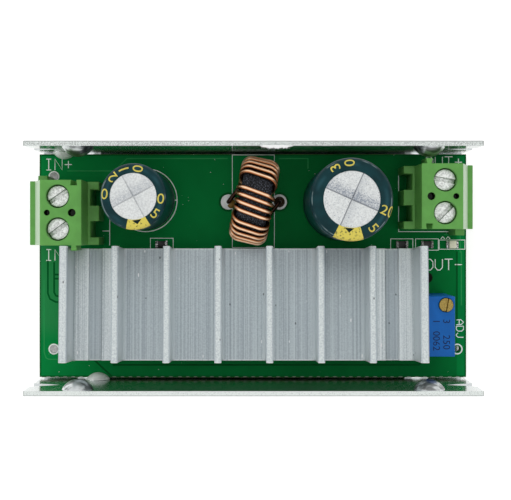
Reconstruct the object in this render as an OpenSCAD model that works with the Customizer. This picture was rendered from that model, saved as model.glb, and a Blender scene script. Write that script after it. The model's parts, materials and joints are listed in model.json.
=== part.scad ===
// Boost converter module: a folded sheet tray carries a circuit board with two screw
// terminal blocks, two capacitors, a wound ring inductor, a trimmer and a finned heat sink.
// +X runs from the input to the output, +Y from the heat sink to the inductor, +Z is up.
// The origin is the middle of the tray's underside. Millimetres.

/* [Tray] */
// Thickness of the tray's sheet
sheet_t = 0.8; // [0.6:0.05:1.2]
// Inside radius of the two folds
fold_r = 0.6; // [0.3:0.1:1.2]
// Height of the side walls above the board's top face
wall_rise = 14.2; // [12.5:0.1:18]
// Space between the tray's floor and the board for the solder joints
board_lift = 3; // [2.6:0.1:6]
// Clearance between the board's long edges and the walls
board_gap = 0.35; // [0.1:0.05:0.6]
// Distance of the lid's snap cups from the tray's ends
cup_inset = 8.1; // [6:0.1:14]
// Width of a snap cup at its rim
cup_w = 5; // [4:0.1:5.2]
// How far a snap cup stands in from its wall
cup_d = 1.55; // [1.2:0.05:2.2]
// Distance of a snap cup's rim below the top of its wall
cup_drop = 2.6; // [2.6:0.1:4]
// Width of the pressed tabs that grip the board
tab_w = 4; // [3.4:0.1:5]
// How far a board tab stands in from its wall
tab_d = 1.2; // [1.1:0.05:1.6]
// Distance of the rear wall's upper tab from the input end
rear_tab_inset = 4.2; // [3:0.1:12]
// Distance of the front wall's upper tab from the input end
front_tab_inset = 9.8; // [3:0.1:12]
// Length of the tapered cut at each end of a wall
end_cut_l = 4.6; // [2:0.1:6]
// Width of an end cut at its open side
end_cut_w = 3.8; // [0.6:0.1:4]
// Height of the end cuts above the board's top face
end_cut_rise = 6.9; // [4:0.1:8]

/* [Board] */
// Thickness of the circuit board
board_t = 1.6; // [1:0.1:2]
// Bore of the three plated holes near the board's corners
via_d = 1.1; // [0.8:0.05:1.4]
// Distance of the plated holes from the input end
via_in_inset = 2.4; // [1.5:0.1:3]
// Distance of the plated hole from the output end
via_out_inset = 1.5; // [1.2:0.1:2.5]
// Distance of the plated holes from the rear edge
via_rear_inset = 3.7; // [2:0.1:5]
// Distance of the plated holes from the front edge
via_front_inset = 4.7; // [2:0.1:6]
// Length of the lead tails under the board
tail_l = 1.5; // [1:0.1:2]

/* [Heat sink] */
// Number of fins
fin_n = 8; // [6:1:10]
// Thickness of an inner fin
fin_t = 0.95; // [0.8:0.05:1.5]
// Thickness of the fin at each end
end_fin_t = 1.15; // [0.9:0.05:1.6]
// Distance from fin to fin
fin_pitch = 7.95; // [7.4:0.05:9]
// Height of the fins above the base
fin_h = 8; // [6:0.1:10]
// Thickness of the base
sink_base_t = 2; // [1.8:0.1:3.5]
// Length of the extrusion, along the fins
sink_d = 18; // [16.5:0.1:24]
// Radius at the foot of each fin
root_r = 0.7; // [0.3:0.05:1]
// Width of the groove between the outer fins
groove_w = 2.1; // [1.5:0.1:3]
// Depth of that groove
groove_d = 0.7; // [0.3:0.05:1.2]
// How far the heat sink tips back on its tapes, in degrees
sink_tilt = 3.6; // [0:0.1:4]
// Distance of the heat sink from the board's input end
sink_in_edge = 5.7; // [5:0.1:8]
// Distance of the heat sink from the board's front edge
sink_front_edge = 3.6; // [2:0.1:5]

/* [Power packages] */
// Width of a power package
pkg_w = 10.2; // [9:0.1:11]
// Depth of a power package's moulding
pkg_d = 9; // [8:0.1:9.6]
// Height of a power package
pkg_h = 4.5; // [4.2:0.05:5]
// Thickness of the metal tab under a package
pkg_tab_t = 1.3; // [1:0.05:1.5]
// How far the tab stands out of the moulding
pkg_tab_out = 1.6; // [1:0.1:2]
// Distance of each package from the middle of the heat sink
pkg_offset = 14; // [10:0.1:20]
// Thickness of the heat conducting tape at its thin rear edge
tape_t = 0.3; // [0.2:0.05:0.5]

/* [Terminal blocks] */
// Distance between the two poles
pole_pitch = 5.08; // [5:0.01:5.4]
// Distance from the screws to the wire entry face
block_front = 5.25; // [4.8:0.05:6]
// Distance from the screws to the back of the step
block_back = 5.5; // [5.4:0.05:6]
// Distance from the screws to the front edge of the top
block_top_front = 2.7; // [2.5:0.05:3]
// Distance from the screws to the back edge of the top
block_top_back = 3.7; // [3.65:0.05:3.9]
// Height of the ledge over the wire entries
ledge_h = 8.8; // [7:0.1:9]
// Depth of that ledge
ledge_w = 0.8; // [0.4:0.05:1.2]
// Height of the step at the back
step_h = 7; // [7:0.1:9]
// Diameter of the recess over a screw
recess_d = 3.65; // [3.5:0.05:3.8]
// Diameter of a clamp screw's head
clamp_head_d = 3.3; // [3:0.05:3.4]
// Height of a clamp screw's head
clamp_head_h = 1.85; // [1.5:0.05:2]
// Diameter of a clamp screw's shank
clamp_shank_d = 2.5; // [2:0.05:2.6]
// How far the screw heads lie below the block's top
head_sink = 0.75; // [0.3:0.05:1.2]
// Height of the wire entries above the board
wire_sill = 2.5; // [2.2:0.05:3]
// Height of a wire entry
wire_h = 3.5; // [3:0.1:3.8]
// Width of a wire entry
wire_w = 3.2; // [2.6:0.1:3.4]
// Thickness of the fixed contact bar
bar_t = 0.8; // [0.6:0.05:1]
// Width of the fixed contact bar
bar_w = 2.2; // [1.8:0.05:2.3]
// Travel of a clamp cage
cage_travel = 2.475; // [2:0.005:2.6]
// Distance of the input block from the board's input end
in_block_edge = 0.05; // [0.05:0.05:1]
// Distance of the output block from the board's output end
out_block_edge = 0.65; // [0.1:0.05:1.2]
// Distance of the input block from the heat sink's line
in_block_gap = 0.55; // [0.5:0.05:2]
// Distance of the output block from the heat sink's line
out_block_gap = 3.1; // [2.7:0.05:4]

/* [Capacitors] */
// Diameter of the input capacitor
in_cap_d = 10; // [8:0.1:11]
// Height of the input capacitor above the board
in_cap_h = 20.5; // [16:0.1:25]
// Diameter of the input capacitor's bare top
in_cap_disc_d = 7; // [5:0.1:7.6]
// Distance from the input block to the input capacitor
in_cap_gap = 1.8; // [0.5:0.05:4]
// Distance of the input capacitor's middle from the heat sink's line
in_cap_row = 7.95; // [6.5:0.05:9]
// Turn of the vent cross on the input capacitor
in_cap_turn = 25; // [0:1:90]
// Diameter of the output capacitor
out_cap_d = 12.5; // [10:0.1:13.5]
// Height of the output capacitor above the board
out_cap_h = 20.8; // [16:0.1:25]
// Diameter of the output capacitor's bare top
out_cap_disc_d = 8.5; // [6:0.1:9.4]
// Distance from the output block to the output capacitor
out_cap_gap = 3.35; // [1:0.05:4]
// Distance of the output capacitor's middle from the heat sink's line
out_cap_row = 7.5; // [7:0.05:9]
// Turn of the vent cross on the output capacitor
out_cap_turn = -24; // [-90:1:90]
// Thickness of the shrunk sleeves
sleeve_t = 0.2; // [0.1:0.05:0.3]
// Distance between a capacitor's two leads
cap_lead_pitch = 5; // [3.5:0.1:5.2]
// Diameter of the capacitor leads
cap_lead_d = 0.6; // [0.5:0.05:0.8]

/* [Inductor] */
// Outside diameter of the ring core
core_od = 12.7; // [12:0.1:14]
// Bore of the ring core
core_id = 7.7; // [7.7:0.1:8.4]
// Width of the ring core
core_w = 4.83; // [4:0.01:5.4]
// Radius of the core's edges
core_edge = 0.5; // [0.3:0.05:0.8]
// Diameter of the winding wire
wire_d = 0.7; // [0.4:0.05:0.7]
// Turn of the inductor on the board, clockwise from above
coil_lean = 10.8; // [0:0.1:12]
// Distance between the inductor's two solder holes
coil_lead_span = 8.5; // [8:0.1:9.5]
// Distance of the inductor from the board's middle, towards the output
coil_shift = 0.17; // [-1:0.01:1]
// Clearance between the heat sink's line and the inductor
coil_gap = 0.13; // [0.1:0.01:1]
// Clearance between the inductor and the board's rear edge
coil_edge = 0.456; // [0.3:0.01:2]

/* [Trimmer] */
// Width of the trimmer
trim_w = 4.83; // [4:0.01:5.5]
// Length of the trimmer
trim_l = 9.53; // [9:0.01:10]
// Height of the trimmer above the board
trim_h = 10.03; // [8:0.01:12]
// Height of the feet under the trimmer
trim_foot = 0.4; // [0.2:0.05:0.8]
// Diameter of the adjusting screw
trim_screw_d = 2.2; // [1.8:0.05:2.3]
// Distance of the adjusting screw from the trimmer's long side
trim_screw_side = 1.42; // [1.35:0.01:2]
// Distance of the adjusting screw from the trimmer's end
trim_screw_end = 1.35; // [1.3:0.01:2]
// Clearance between the heat sink and the trimmer
trim_gap = 0.17; // [0.1:0.01:1]
// Distance of the trimmer from the board's output end
trim_edge = 3.7; // [2:0.05:5]
// Distance of the trimmer from the heat sink's line
trim_drop = 7.55; // [6:0.05:8]

/* [Small parts] */
// Length of a chip part
chip_l = 2; // [1.6:0.05:2.2]
// Width of a chip part
chip_w = 1.25; // [0.8:0.05:1.4]
// Height of a chip resistor
chip_h = 0.5; // [0.4:0.05:0.7]
// Distance from chip part to chip part
chip_pitch = 4.2; // [3:0.05:4.6]
// Distance of the lamp from the board's output end
led_edge = 2.35; // [1.6:0.05:3]
// Distance of the chip parts from the heat sink's line
chip_row = 0.55; // [0.2:0.05:1]
// Distance of the bypass capacitor from the board's middle, towards the input
bypass_shift = 15.2; // [10:0.1:18]

/* [Hidden] */
$fn = 48;

// Working clearance of parts that move in each other
run = 0.1;
// Overlap that lets a cut pass cleanly through a face
eps = 0.01;

// The heat sink and what stands beside it set the size of the board
sink_l = (fin_n - 1) * fin_pitch + end_fin_t;
coil_l = core_od + 2 * wire_d;
coil_w = core_w + 2 * wire_d;
coil_depth = coil_l * cos(coil_lean) + coil_w * sin(coil_lean);
board_l = sink_in_edge + sink_l + trim_gap + trim_w + trim_edge;
board_w = sink_front_edge + sink_d + coil_gap + coil_depth + coil_edge;
tray_w = board_w + 2 * board_gap;
board_z = sheet_t + board_lift;
top_z = board_z + board_t;
wall_z = top_z + wall_rise;

// The heat sink's line is its base's upper rear edge, from which the rear row is placed
sink_x = -board_l / 2 + sink_in_edge + sink_l / 2;
row_y = -board_w / 2 + sink_front_edge + sink_d;
sink_y = row_y - sink_d / 2 * cos(sink_tilt) - sink_base_t * sin(sink_tilt);
pkg_shift = 0.6;
pkg_y = sink_y + pkg_shift;
sink_z = top_z + pkg_h + tape_t + (pkg_shift + pkg_d / 2) * tan(sink_tilt);
groove_x = (fin_n - 2) / 2 * fin_pitch;
fin_chamfer = 0.15;

// Terminal block levels above the board, from the contact bar upwards
block_w = 2 * pole_pitch;
cell_wall = 1.08;
cell_w = pole_pitch - cell_wall;
bar_z = wire_sill + wire_h;
bar_top = bar_z + bar_t;
bar_leg_w = 1;
cage_floor_t = 0.8;
cage_top_t = 1.2;
cage_w = cell_w - 2 * run;
cage_gap = max(bar_w, clamp_shank_d) + 2 * run;
cage_l = 3.4;
cage_roof_z = bar_top + run;
cage_top_z = cage_roof_z + cage_top_t;
cell_top = cage_top_z + cage_travel + run;
shelf_t = 0.8;
shelf_z = cell_top + shelf_t;
block_h = shelf_z + clamp_head_h + head_sink;
shelf_clear = 0.2;
shelf_bore_d = clamp_shank_d + 2 * shelf_clear;
slot_w = 0.6;
slot_depth = 0.9;
clamp_tip = 0.3;
bar_leg_gap = 0.9;
bar_reach = 0.8;
bar_leg_x = -cage_l / 2 - bar_leg_gap;
bar_back = bar_leg_x - bar_t;
bar_front = cage_l / 2 + bar_reach;
notch_w = 2.6;
notch_d = 1.4;
funnel_rim = 0.3;
funnel_d = 0.6;
dovetail_x = -2.5;
dovetail_d = 0.8;
dovetail_root = 0.7;
dovetail_tip = 1;
dovetail_z = 8.8;
rib_x = 3.7;
rib_w = 1.5;
rib_d = 1;
rib_h = 6;
peg_front = [1.65, 0.9];
peg_back = [-2.2, 1.18];
peg_depth = 2.2;
clamp_turn = [35, 37, -10, 45];

in_x = -board_l / 2 + in_block_edge + block_front;
in_y = row_y + in_block_gap + block_w / 2;
out_x = board_l / 2 - out_block_edge - block_front;
out_y = row_y + out_block_gap + block_w / 2;

// Capacitors stand beside their blocks
in_cap = [in_x + block_back + in_cap_gap + in_cap_d / 2, row_y + in_cap_row];
out_cap = [out_x - block_back - out_cap_gap - out_cap_d / 2, row_y + out_cap_row];
cap_foot = 0.2;
cap_round = 0.8;
bead_z = 3.2;
bead_r = 0.7;
bead_in = 0.45;
seal_h = 2;
vent_w = 0.3;
vent_d = 0.2;
lead_clear = 0.1;

// The winding: groups of turns as [number, first angle, step], angles from the top of the ring
turn_groups = [[4, -165, 13], [5, -98.75, 13.5], [4, -20, 12.2], [5, 31.25, 13.5], [4, 113, 13]];
turns = [for (g = turn_groups) for (i = [0 : g[0] - 1]) [g[1] + i * g[2], g[2]]];
wire_r = wire_d / 2;
wire_clear = 0.03;
wire_sides = 8;
wind_in = core_id / 2 - wire_r - wire_clear;
wind_out = core_od / 2 + wire_r + wire_clear;
wind_x = core_w / 2 + wire_r + wire_clear;
wind_r = core_edge + wire_r;
coil_lift = 0.05;
lead_rise = 0.8;
// Bends of a lead, as shares of the way to the winding and of the rise
lead_bends = [[0, 0.5], [0.15, 1], [0.6, 1.2]];
coil_x = coil_shift;
coil_y = row_y + coil_gap + coil_depth / 2;
coil_z = top_z + core_od / 2 + wire_d + coil_lift;

trim_x = board_l / 2 - trim_edge - trim_w / 2;
trim_y = row_y - trim_drop - trim_l / 2;
trim_pin_pitch = 2.54;
trim_pin_d = 0.5;
trim_screw = [trim_w / 2 - trim_screw_side, trim_l / 2 - trim_screw_end];
trim_screw_out = 0.25;
trim_head_h = 1.5;
trim_stem_d = 1.4;
trim_stem_h = 5;
trim_slot_w = 0.5;
trim_slot_d = 0.6;

led_x = board_l / 2 - led_edge;
chip_y = row_y + chip_row;
chip_cap_l = 0.4;
chip_rim = 0.04;
bypass_h = 0.9;
led_h = 0.8;
led_base_h = 0.35;

// Middle of the small controller under the heat sink
ic_l = 4.9;
ic_w = 3.9;
ic_h = 1.5;
ic_foot = 0.15;
ic_pitch = 1.27;
ic_lead_w = 0.42;
ic_lead_t = 0.2;
ic_lead_out = 1.05;
pkg_lead_w = 0.9;
pkg_lead_t = 0.5;
pkg_lead_z = 2.4;
pkg_lead_out = 3.2;
pkg_lead_pitch = 2.54;
pkg_tab_in = 7.2;

// Every hole through the board, as [x, y, diameter]
bar_hole_d = 1.5;
wire_hole_d = wire_d + 2 * lead_clear;
pole_y = [-pole_pitch / 2, pole_pitch / 2];
pin_x = bar_leg_x - bar_t / 2;
cap_hole_d = cap_lead_d + 2 * lead_clear;
trim_hole_d = trim_pin_d + 2 * lead_clear;
lead_holes = concat(
    [for (p = pole_y) [in_x - pin_x, in_y + p, bar_hole_d]],
    [for (p = pole_y) [out_x + pin_x, out_y + p, bar_hole_d]],
    [for (s = [-1, 1]) [in_cap[0] + s * cap_lead_pitch / 2, in_cap[1], cap_hole_d]],
    [for (s = [-1, 1]) [out_cap[0] + s * cap_lead_pitch / 2, out_cap[1], cap_hole_d]],
    [for (s = [-1, 1]) [coil_x + s * coil_lead_span / 2, coil_y, wire_hole_d]],
    [for (s = [-1, 0, 1]) [trim_x, trim_y + s * trim_pin_pitch, trim_hole_d]]
);
via_holes = [
    [-board_l / 2 + via_in_inset, board_w / 2 - via_rear_inset, via_d],
    [-board_l / 2 + via_in_inset, -board_w / 2 + via_front_inset, via_d],
    [board_l / 2 - via_out_inset, -board_w / 2 + via_front_inset, via_d]
];
joint_rim = 0.55;
joint_h = 1;

// Places a part on the board, seen from its own block
module at_input() translate([in_x, in_y, top_z]) rotate(180) children();
module at_output() translate([out_x, out_y, top_z]) children();
module at_pole(side) translate([0, side * pole_pitch / 2, 0]) children();

// Box that is centred in X and Y and stands on Z = 0
module slab(size) translate([-size[0] / 2, -size[1] / 2, 0]) cube(size);

// Upright area with rounded lower corners, in Y and Z
module trough(w, r, base, top) {
    translate([-w / 2, base + r]) square([w, top - base - r]);
    translate([-w / 2 + r, base]) square([w - 2 * r, top - base]);
    for (s = [-1, 1]) translate([s * (w / 2 - r), base + r]) circle(r);
}

// Section of the folded sheet
module tray_section() difference() {
    trough(tray_w + 2 * sheet_t, fold_r + sheet_t, 0, wall_z);
    trough(tray_w, fold_r, sheet_t, wall_z + eps);
}

// Half ball pressed in from the wall on one side: below its rim, or above it
module half_ball(side, x, z, w, d, below, inner) {
    ball_r = (w * w / 4 + d * d) / (2 * d);
    reach = 2 * ball_r;
    translate([x, side * (tray_w / 2 - d + ball_r), z]) intersection() {
        sphere(inner ? ball_r - sheet_t : ball_r);
        translate([-reach, -reach, below ? -reach : 0]) cube([2 * reach, 2 * reach, reach]);
    }
}

// All pressed cups and tabs as solid halves, or the hollows behind them
module pressings(inner) {
    for (side = [-1, 1]) for (end = [-1, 1]) {
        x = end * (board_l / 2 - cup_inset);
        half_ball(side, x, wall_z - cup_drop, cup_w, cup_d, false, inner);
        half_ball(side, x, board_z, tab_w, tab_d, true, inner);
    }
    half_ball(1, -board_l / 2 + rear_tab_inset, top_z, tab_w, tab_d, false, inner);
    half_ball(-1, -board_l / 2 + front_tab_inset, top_z, tab_w, tab_d, false, inner);
}

// Tapered cut that opens at one end of both walls
module end_cut() {
    translate([board_l / 2, 0, top_z + end_cut_rise]) rotate([90, 0, 0])
        linear_extrude(tray_w + 4 * sheet_t, center = true)
            polygon([[eps, -end_cut_w / 2], [eps, end_cut_w / 2], [-end_cut_l, 0]]);
}

module tray() color("gainsboro") difference() {
    union() {
        rotate([90, 0, 90]) linear_extrude(board_l, center = true) tray_section();
        intersection() {
            pressings(false);
            slab([board_l, tray_w + sheet_t, wall_z]);
        }
    }
    pressings(true);
    end_cut();
    mirror([1, 0, 0]) end_cut();
}

module circuit_board() color("green") difference() {
    translate([0, 0, board_z]) slab([board_l, board_w, board_t]);
    for (h = concat(lead_holes, via_holes)) translate([h[0], h[1], board_z - eps])
        cylinder(d = h[2], h = board_t + 2 * eps);
}

// One fin of thickness t, standing on the base
module fin_section(t) {
    translate([-t / 2, -eps]) square([t, fin_h - fin_chamfer + eps]);
    polygon([
        [-t / 2, fin_h - fin_chamfer - eps], [t / 2, fin_h - fin_chamfer - eps],
        [t / 2 - fin_chamfer, fin_h], [-t / 2 + fin_chamfer, fin_h]
    ]);
}

// Rounded foot on one side of such a fin
module fin_foot(t) translate([t / 2, 0]) difference() {
    translate([-eps, -eps]) square(root_r + eps);
    translate([root_r, root_r]) circle(root_r);
}

module sink_section() {
    difference() {
        translate([-sink_l / 2, 0]) square([sink_l, sink_base_t]);
        for (s = [-1, 1]) translate([s * groove_x - groove_w / 2, sink_base_t - groove_d])
            square([groove_w, groove_d + eps]);
    }
    for (i = [0 : fin_n - 1]) translate([(i - (fin_n - 1) / 2) * fin_pitch, sink_base_t]) {
        t = i == 0 || i == fin_n - 1 ? end_fin_t : fin_t;
        fin_section(t);
        if (i < fin_n - 1) fin_foot(t);
        if (i > 0) mirror([1, 0]) fin_foot(t);
    }
}

module heatsink() color("silver") translate([sink_x, sink_y, sink_z]) rotate([90 - sink_tilt, 0, 0])
    linear_extrude(sink_d, center = true) sink_section();

// Places a power package, its tab towards the front edge
module at_package(side) translate([sink_x + side * pkg_offset, pkg_y, top_z]) children();

// Tape that fills the wedge between a package and the tipped heat sink
module package_tape() translate([0, 0, pkg_h]) rotate([90, 0, 90])
    linear_extrude(pkg_w, center = true) polygon([
        [-pkg_d / 2, 0], [pkg_d / 2, 0], [pkg_d / 2, tape_t], [-pkg_d / 2, tape_t + pkg_d * tan(sink_tilt)]
    ]);

module package_tab() translate([-pkg_w / 2, -pkg_d / 2 - pkg_tab_out, 0])
    cube([pkg_w, pkg_tab_in + pkg_tab_out, pkg_tab_t]);

// Side of a package lead, from the moulding down to its foot on the board
module package_lead() rotate([90, 0, 90]) linear_extrude(pkg_lead_w, center = true) polygon([
    [0, pkg_lead_z], [pkg_lead_out / 2, pkg_lead_z], [pkg_lead_out / 2 + pkg_lead_t, pkg_lead_t],
    [pkg_lead_out, pkg_lead_t], [pkg_lead_out, 0], [pkg_lead_out / 2, 0],
    [pkg_lead_out / 2 - pkg_lead_t, pkg_lead_z - pkg_lead_t], [0, pkg_lead_z - pkg_lead_t]
]);

module package_leadframe() {
    package_tab();
    for (s = [-1, 1]) translate([s * pkg_lead_pitch, pkg_d / 2, 0]) package_lead();
}

module package_body() difference() {
    translate([0, 0, run]) slab([pkg_w, pkg_d, pkg_h - run]);
    package_tab();
}

module switch_tape() color("white") at_package(-1) package_tape();
module diode_tape() color("white") at_package(1) package_tape();
module switch_body() color("dimgray") at_package(-1) package_body();
module diode_body() color("dimgray") at_package(1) package_body();
module switch_leadframe() color("silver") at_package(-1) package_leadframe();
module diode_leadframe() color("silver") at_package(1) package_leadframe();

module controller_body() color("dimgray") translate([sink_x, sink_y, top_z + ic_foot])
    slab([ic_l, ic_w, ic_h]);

// Side of a controller lead, in Y and Z, starting at the moulding
module controller_lead() rotate([90, 0, 90]) linear_extrude(ic_lead_w, center = true) polygon([
    [0, ic_h / 2], [ic_lead_out / 3, ic_h / 2], [ic_lead_out / 2, ic_lead_t],
    [ic_lead_out, ic_lead_t], [ic_lead_out, 0], [ic_lead_out / 3, 0],
    [ic_lead_out / 6, ic_h / 2 - ic_lead_t], [0, ic_h / 2 - ic_lead_t]
]);

module controller_leads() color("silver") translate([sink_x, sink_y, top_z])
    for (s = [0, 1]) mirror([0, s, 0]) for (i = [-1.5 : 1.5])
        translate([i * ic_pitch, ic_w / 2, 0]) controller_lead();

// Side of a terminal block, in X and Z, with the wire entries towards +X
module block_section() polygon([
    [block_front, 0], [block_front, ledge_h], [block_front - ledge_w, ledge_h],
    [block_top_front, block_h], [-block_top_back, block_h],
    [-block_top_back, step_h], [-block_back, step_h], [-block_back, 0]
]);

// Dovetail that joins blocks side by side, pointing towards +Y
module dovetail(grow) polygon([
    [-dovetail_root / 2 - grow, -eps], [dovetail_root / 2 + grow, -eps],
    [dovetail_tip / 2 + grow, dovetail_d + grow], [-dovetail_tip / 2 - grow, dovetail_d + grow]
]);

// What is hollow in one pole of a block
module pole_hollow() {
    translate([-cage_l / 2 - run, -cell_w / 2, -eps]) cube([cage_l + 2 * run, cell_w, cell_top + eps]);
    translate([bar_back - run / 2, -bar_w / 2 - run, -eps])
        cube([bar_front - bar_back + run, bar_w + 2 * run, bar_top + run / 2 + eps]);
    translate([0, -wire_w / 2, wire_sill]) cube([block_front + eps, wire_w, wire_h]);
    translate([block_front - funnel_d, -wire_w / 2 - funnel_rim, wire_sill - funnel_rim])
        cube([funnel_d + eps, wire_w + 2 * funnel_rim, wire_h + 2 * funnel_rim]);
    translate([0, 0, cell_top - eps]) cylinder(d = shelf_bore_d, h = shelf_t + 2 * eps);
    translate([0, 0, shelf_z]) cylinder(d = recess_d, h = block_h - shelf_z + eps);
    translate([-block_back - eps, -notch_w / 2, -eps]) cube([notch_d + eps, notch_w, step_h + 2 * eps]);
}

module block_housing() difference() {
    union() {
        rotate([90, 0, 0]) linear_extrude(block_w, center = true) block_section();
        translate([dovetail_x, block_w / 2, dovetail_z]) linear_extrude(block_h - dovetail_z) dovetail(0);
        translate([rib_x - rib_w / 2, -block_w / 2 - rib_d, 0]) cube([rib_w, rib_d + eps, rib_h]);
    }
    for (s = [-1, 1]) at_pole(s) pole_hollow();
    translate([dovetail_x, -block_w / 2, dovetail_z - run])
        linear_extrude(block_h - dovetail_z + run + eps) dovetail(run / 2);
    for (p = [peg_front, peg_back]) translate([p[0], 0, block_h - peg_depth])
        cylinder(d = p[1], h = peg_depth + eps);
}

// Contact bar with the leg that is soldered into the board
module contact_bar() {
    translate([bar_back, -bar_w / 2, bar_z]) cube([bar_front - bar_back, bar_w, bar_t]);
    translate([bar_back, -bar_leg_w / 2, -board_t - tail_l])
        cube([bar_t, bar_leg_w, bar_z + bar_t / 2 + board_t + tail_l]);
}

module block_bars() for (s = [-1, 1]) at_pole(s) contact_bar();

// Slotted screw that turns under the recess and lifts its cage
module clamp_screw(turn) rotate(turn) difference() {
    union() {
        translate([0, 0, shelf_z + run / 2]) cylinder(d = clamp_head_d, h = clamp_head_h);
        translate([0, 0, cage_roof_z + clamp_tip]) cylinder(d = clamp_shank_d, h = shelf_z - cage_roof_z);
        translate([0, 0, cage_roof_z])
            cylinder(d1 = clamp_shank_d - 2 * clamp_tip, d2 = clamp_shank_d, h = clamp_tip);
    }
    translate([0, 0, shelf_z + run / 2 + clamp_head_h - slot_depth])
        slab([2 * clamp_head_d, slot_w, slot_depth + eps]);
}

// Cage that the screw lifts to press a wire against the bar
module clamp_cage() difference() {
    translate([0, 0, wire_sill - cage_floor_t])
        slab([cage_l, cage_w, cage_top_z - wire_sill + cage_floor_t]);
    translate([0, 0, wire_sill]) slab([cage_l + 2 * eps, cage_gap, cage_roof_z - wire_sill]);
    translate([0, 0, cage_roof_z - eps]) cylinder(d = clamp_shank_d + run, h = cage_top_t + 2 * eps);
}

module input_block() color("limegreen") at_input() block_housing();
module output_block() color("limegreen") at_output() block_housing();
module input_block_bars() color("silver") at_input() block_bars();
module output_block_bars() color("silver") at_output() block_bars();
module input_plus_screw() color("lightgray") at_input() at_pole(-1) clamp_screw(clamp_turn[0]);
module input_minus_screw() color("lightgray") at_input() at_pole(1) clamp_screw(clamp_turn[1]);
module output_plus_screw() color("lightgray") at_output() at_pole(1) clamp_screw(clamp_turn[2]);
module output_minus_screw() color("lightgray") at_output() at_pole(-1) clamp_screw(clamp_turn[3]);
module input_plus_cage() color("silver") at_input() at_pole(-1) clamp_cage();
module input_minus_cage() color("silver") at_input() at_pole(1) clamp_cage();
module output_plus_cage() color("silver") at_output() at_pole(1) clamp_cage();
module output_minus_cage() color("silver") at_output() at_pole(-1) clamp_cage();

// Half section of a can with a rounded shoulder and a rolled bead, in radius and height
module can_section(r, h, round) difference() {
    union() {
        square([r, h - round]);
        square([r - round, h]);
        translate([r - round, h - round]) circle(round);
    }
    translate([r - bead_in + bead_r, bead_z]) circle(bead_r);
    translate([-r - round, 0]) square([r + round, h]);
}

module at_cap(place) translate([place[0], place[1], top_z + cap_foot]) children();

module cap_can(d, h, turn) difference() {
    rotate_extrude() can_section(d / 2 - sleeve_t, h - cap_foot - sleeve_t, cap_round);
    translate([0, 0, -eps]) cylinder(r = d / 2 - sleeve_t - bead_in, h = seal_h + eps);
    for (a = [0, 90]) rotate(turn + a) translate([0, 0, h - cap_foot - sleeve_t - vent_d])
        slab([d / 2, vent_w, vent_d + eps]);
}

module cap_sleeve(d, h, disc_d) rotate_extrude() difference() {
    can_section(d / 2, h - cap_foot, cap_round + sleeve_t);
    can_section(d / 2 - sleeve_t, h - cap_foot - sleeve_t, cap_round);
    square([disc_d / 2, h]);
}

module cap_seal(d) difference() {
    cylinder(r = d / 2 - sleeve_t - bead_in, h = seal_h);
    for (s = [-1, 1]) translate([s * cap_lead_pitch / 2, 0, -eps])
        cylinder(d = cap_lead_d, h = seal_h + 2 * eps);
}

module cap_leads() for (s = [-1, 1]) translate([s * cap_lead_pitch / 2, 0, -cap_foot - board_t - tail_l])
    cylinder(d = cap_lead_d, h = cap_foot + board_t + tail_l + seal_h);

module input_capacitor_can() color("lightgray") at_cap(in_cap)
    cap_can(in_cap_d, in_cap_h, in_cap_turn);
module input_capacitor_sleeve() color("midnightblue") at_cap(in_cap)
    cap_sleeve(in_cap_d, in_cap_h, in_cap_disc_d);
module input_capacitor_seal() color("black") at_cap(in_cap) cap_seal(in_cap_d);
module input_capacitor_leads() color("silver") at_cap(in_cap) cap_leads();
module output_capacitor_can() color("lightgray") at_cap(out_cap)
    cap_can(out_cap_d, out_cap_h, out_cap_turn);
module output_capacitor_sleeve() color("midnightblue") at_cap(out_cap)
    cap_sleeve(out_cap_d, out_cap_h, out_cap_disc_d);
module output_capacitor_seal() color("black") at_cap(out_cap) cap_seal(out_cap_d);
module output_capacitor_leads() color("silver") at_cap(out_cap) cap_leads();

// Places the inductor's ring upright, its own axis along X before the lean
module at_coil() translate([coil_x, coil_y, coil_z]) rotate(-coil_lean) children();

module inductor_core() color("black") at_coil() rotate([0, 90, 0]) rotate_extrude() {
    inner = core_id / 2;
    deep = (core_od - core_id) / 2;
    translate([inner + core_edge, -core_w / 2]) square([deep - 2 * core_edge, core_w]);
    translate([inner, -core_w / 2 + core_edge]) square([deep, core_w - 2 * core_edge]);
    for (r = [core_edge, deep - core_edge]) for (s = [-1, 1])
        translate([inner + r, s * (core_w / 2 - core_edge)]) circle(core_edge);
}

// Point of the winding with its angle: round the ring, at a radius and a place along the axis
function wind(a, r, x) = [[x, -r * sin(a), r * cos(a)], a];
// Three points round one corner of the wire's path about the core's section
function corner(a, r, x, from) = [for (k = [0, 45, 90])
    wind(a, r + wind_r * cos(from + k), x + wind_r * sin(from + k))];
// One turn: slanting across the outside, in along the far face, back through the bore
function turn_path(i) =
    let (a = turns[i][0], b = a + turns[i][1], next = turns[i + 1][0])
    concat(
        corner(a, wind_out - wind_r, wind_r - wind_x, -90),
        corner(b, wind_out - wind_r, wind_x - wind_r, 0),
        corner(b, wind_in + wind_r, wind_x - wind_r, 90),
        corner(next, wind_in + wind_r, wind_r - wind_x, 180)
    );
// Lead from its hole in the board up to the winding's end
function lead_path(side, to) =
    let (hole = side * coil_lead_span / 2, foot = top_z - coil_z)
    let (at = [hole * cos(coil_lean), hole * sin(coil_lean)])
    let (way = [to[0][0] - at[0], to[0][1] - at[1]])
    concat(
        [[[at[0], at[1], foot - board_t - tail_l], to[1]]],
        [for (b = lead_bends)
            [[at[0] + b[0] * way[0], at[1] + b[0] * way[1], foot + b[1] * lead_rise], to[1]]]
    );
function back(list) = [for (i = [len(list) - 1 : -1 : 0]) list[i]];
function cut(list, first, last) = [for (i = [first : last]) list[i]];
function unit(v) = v / norm(v);

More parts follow.
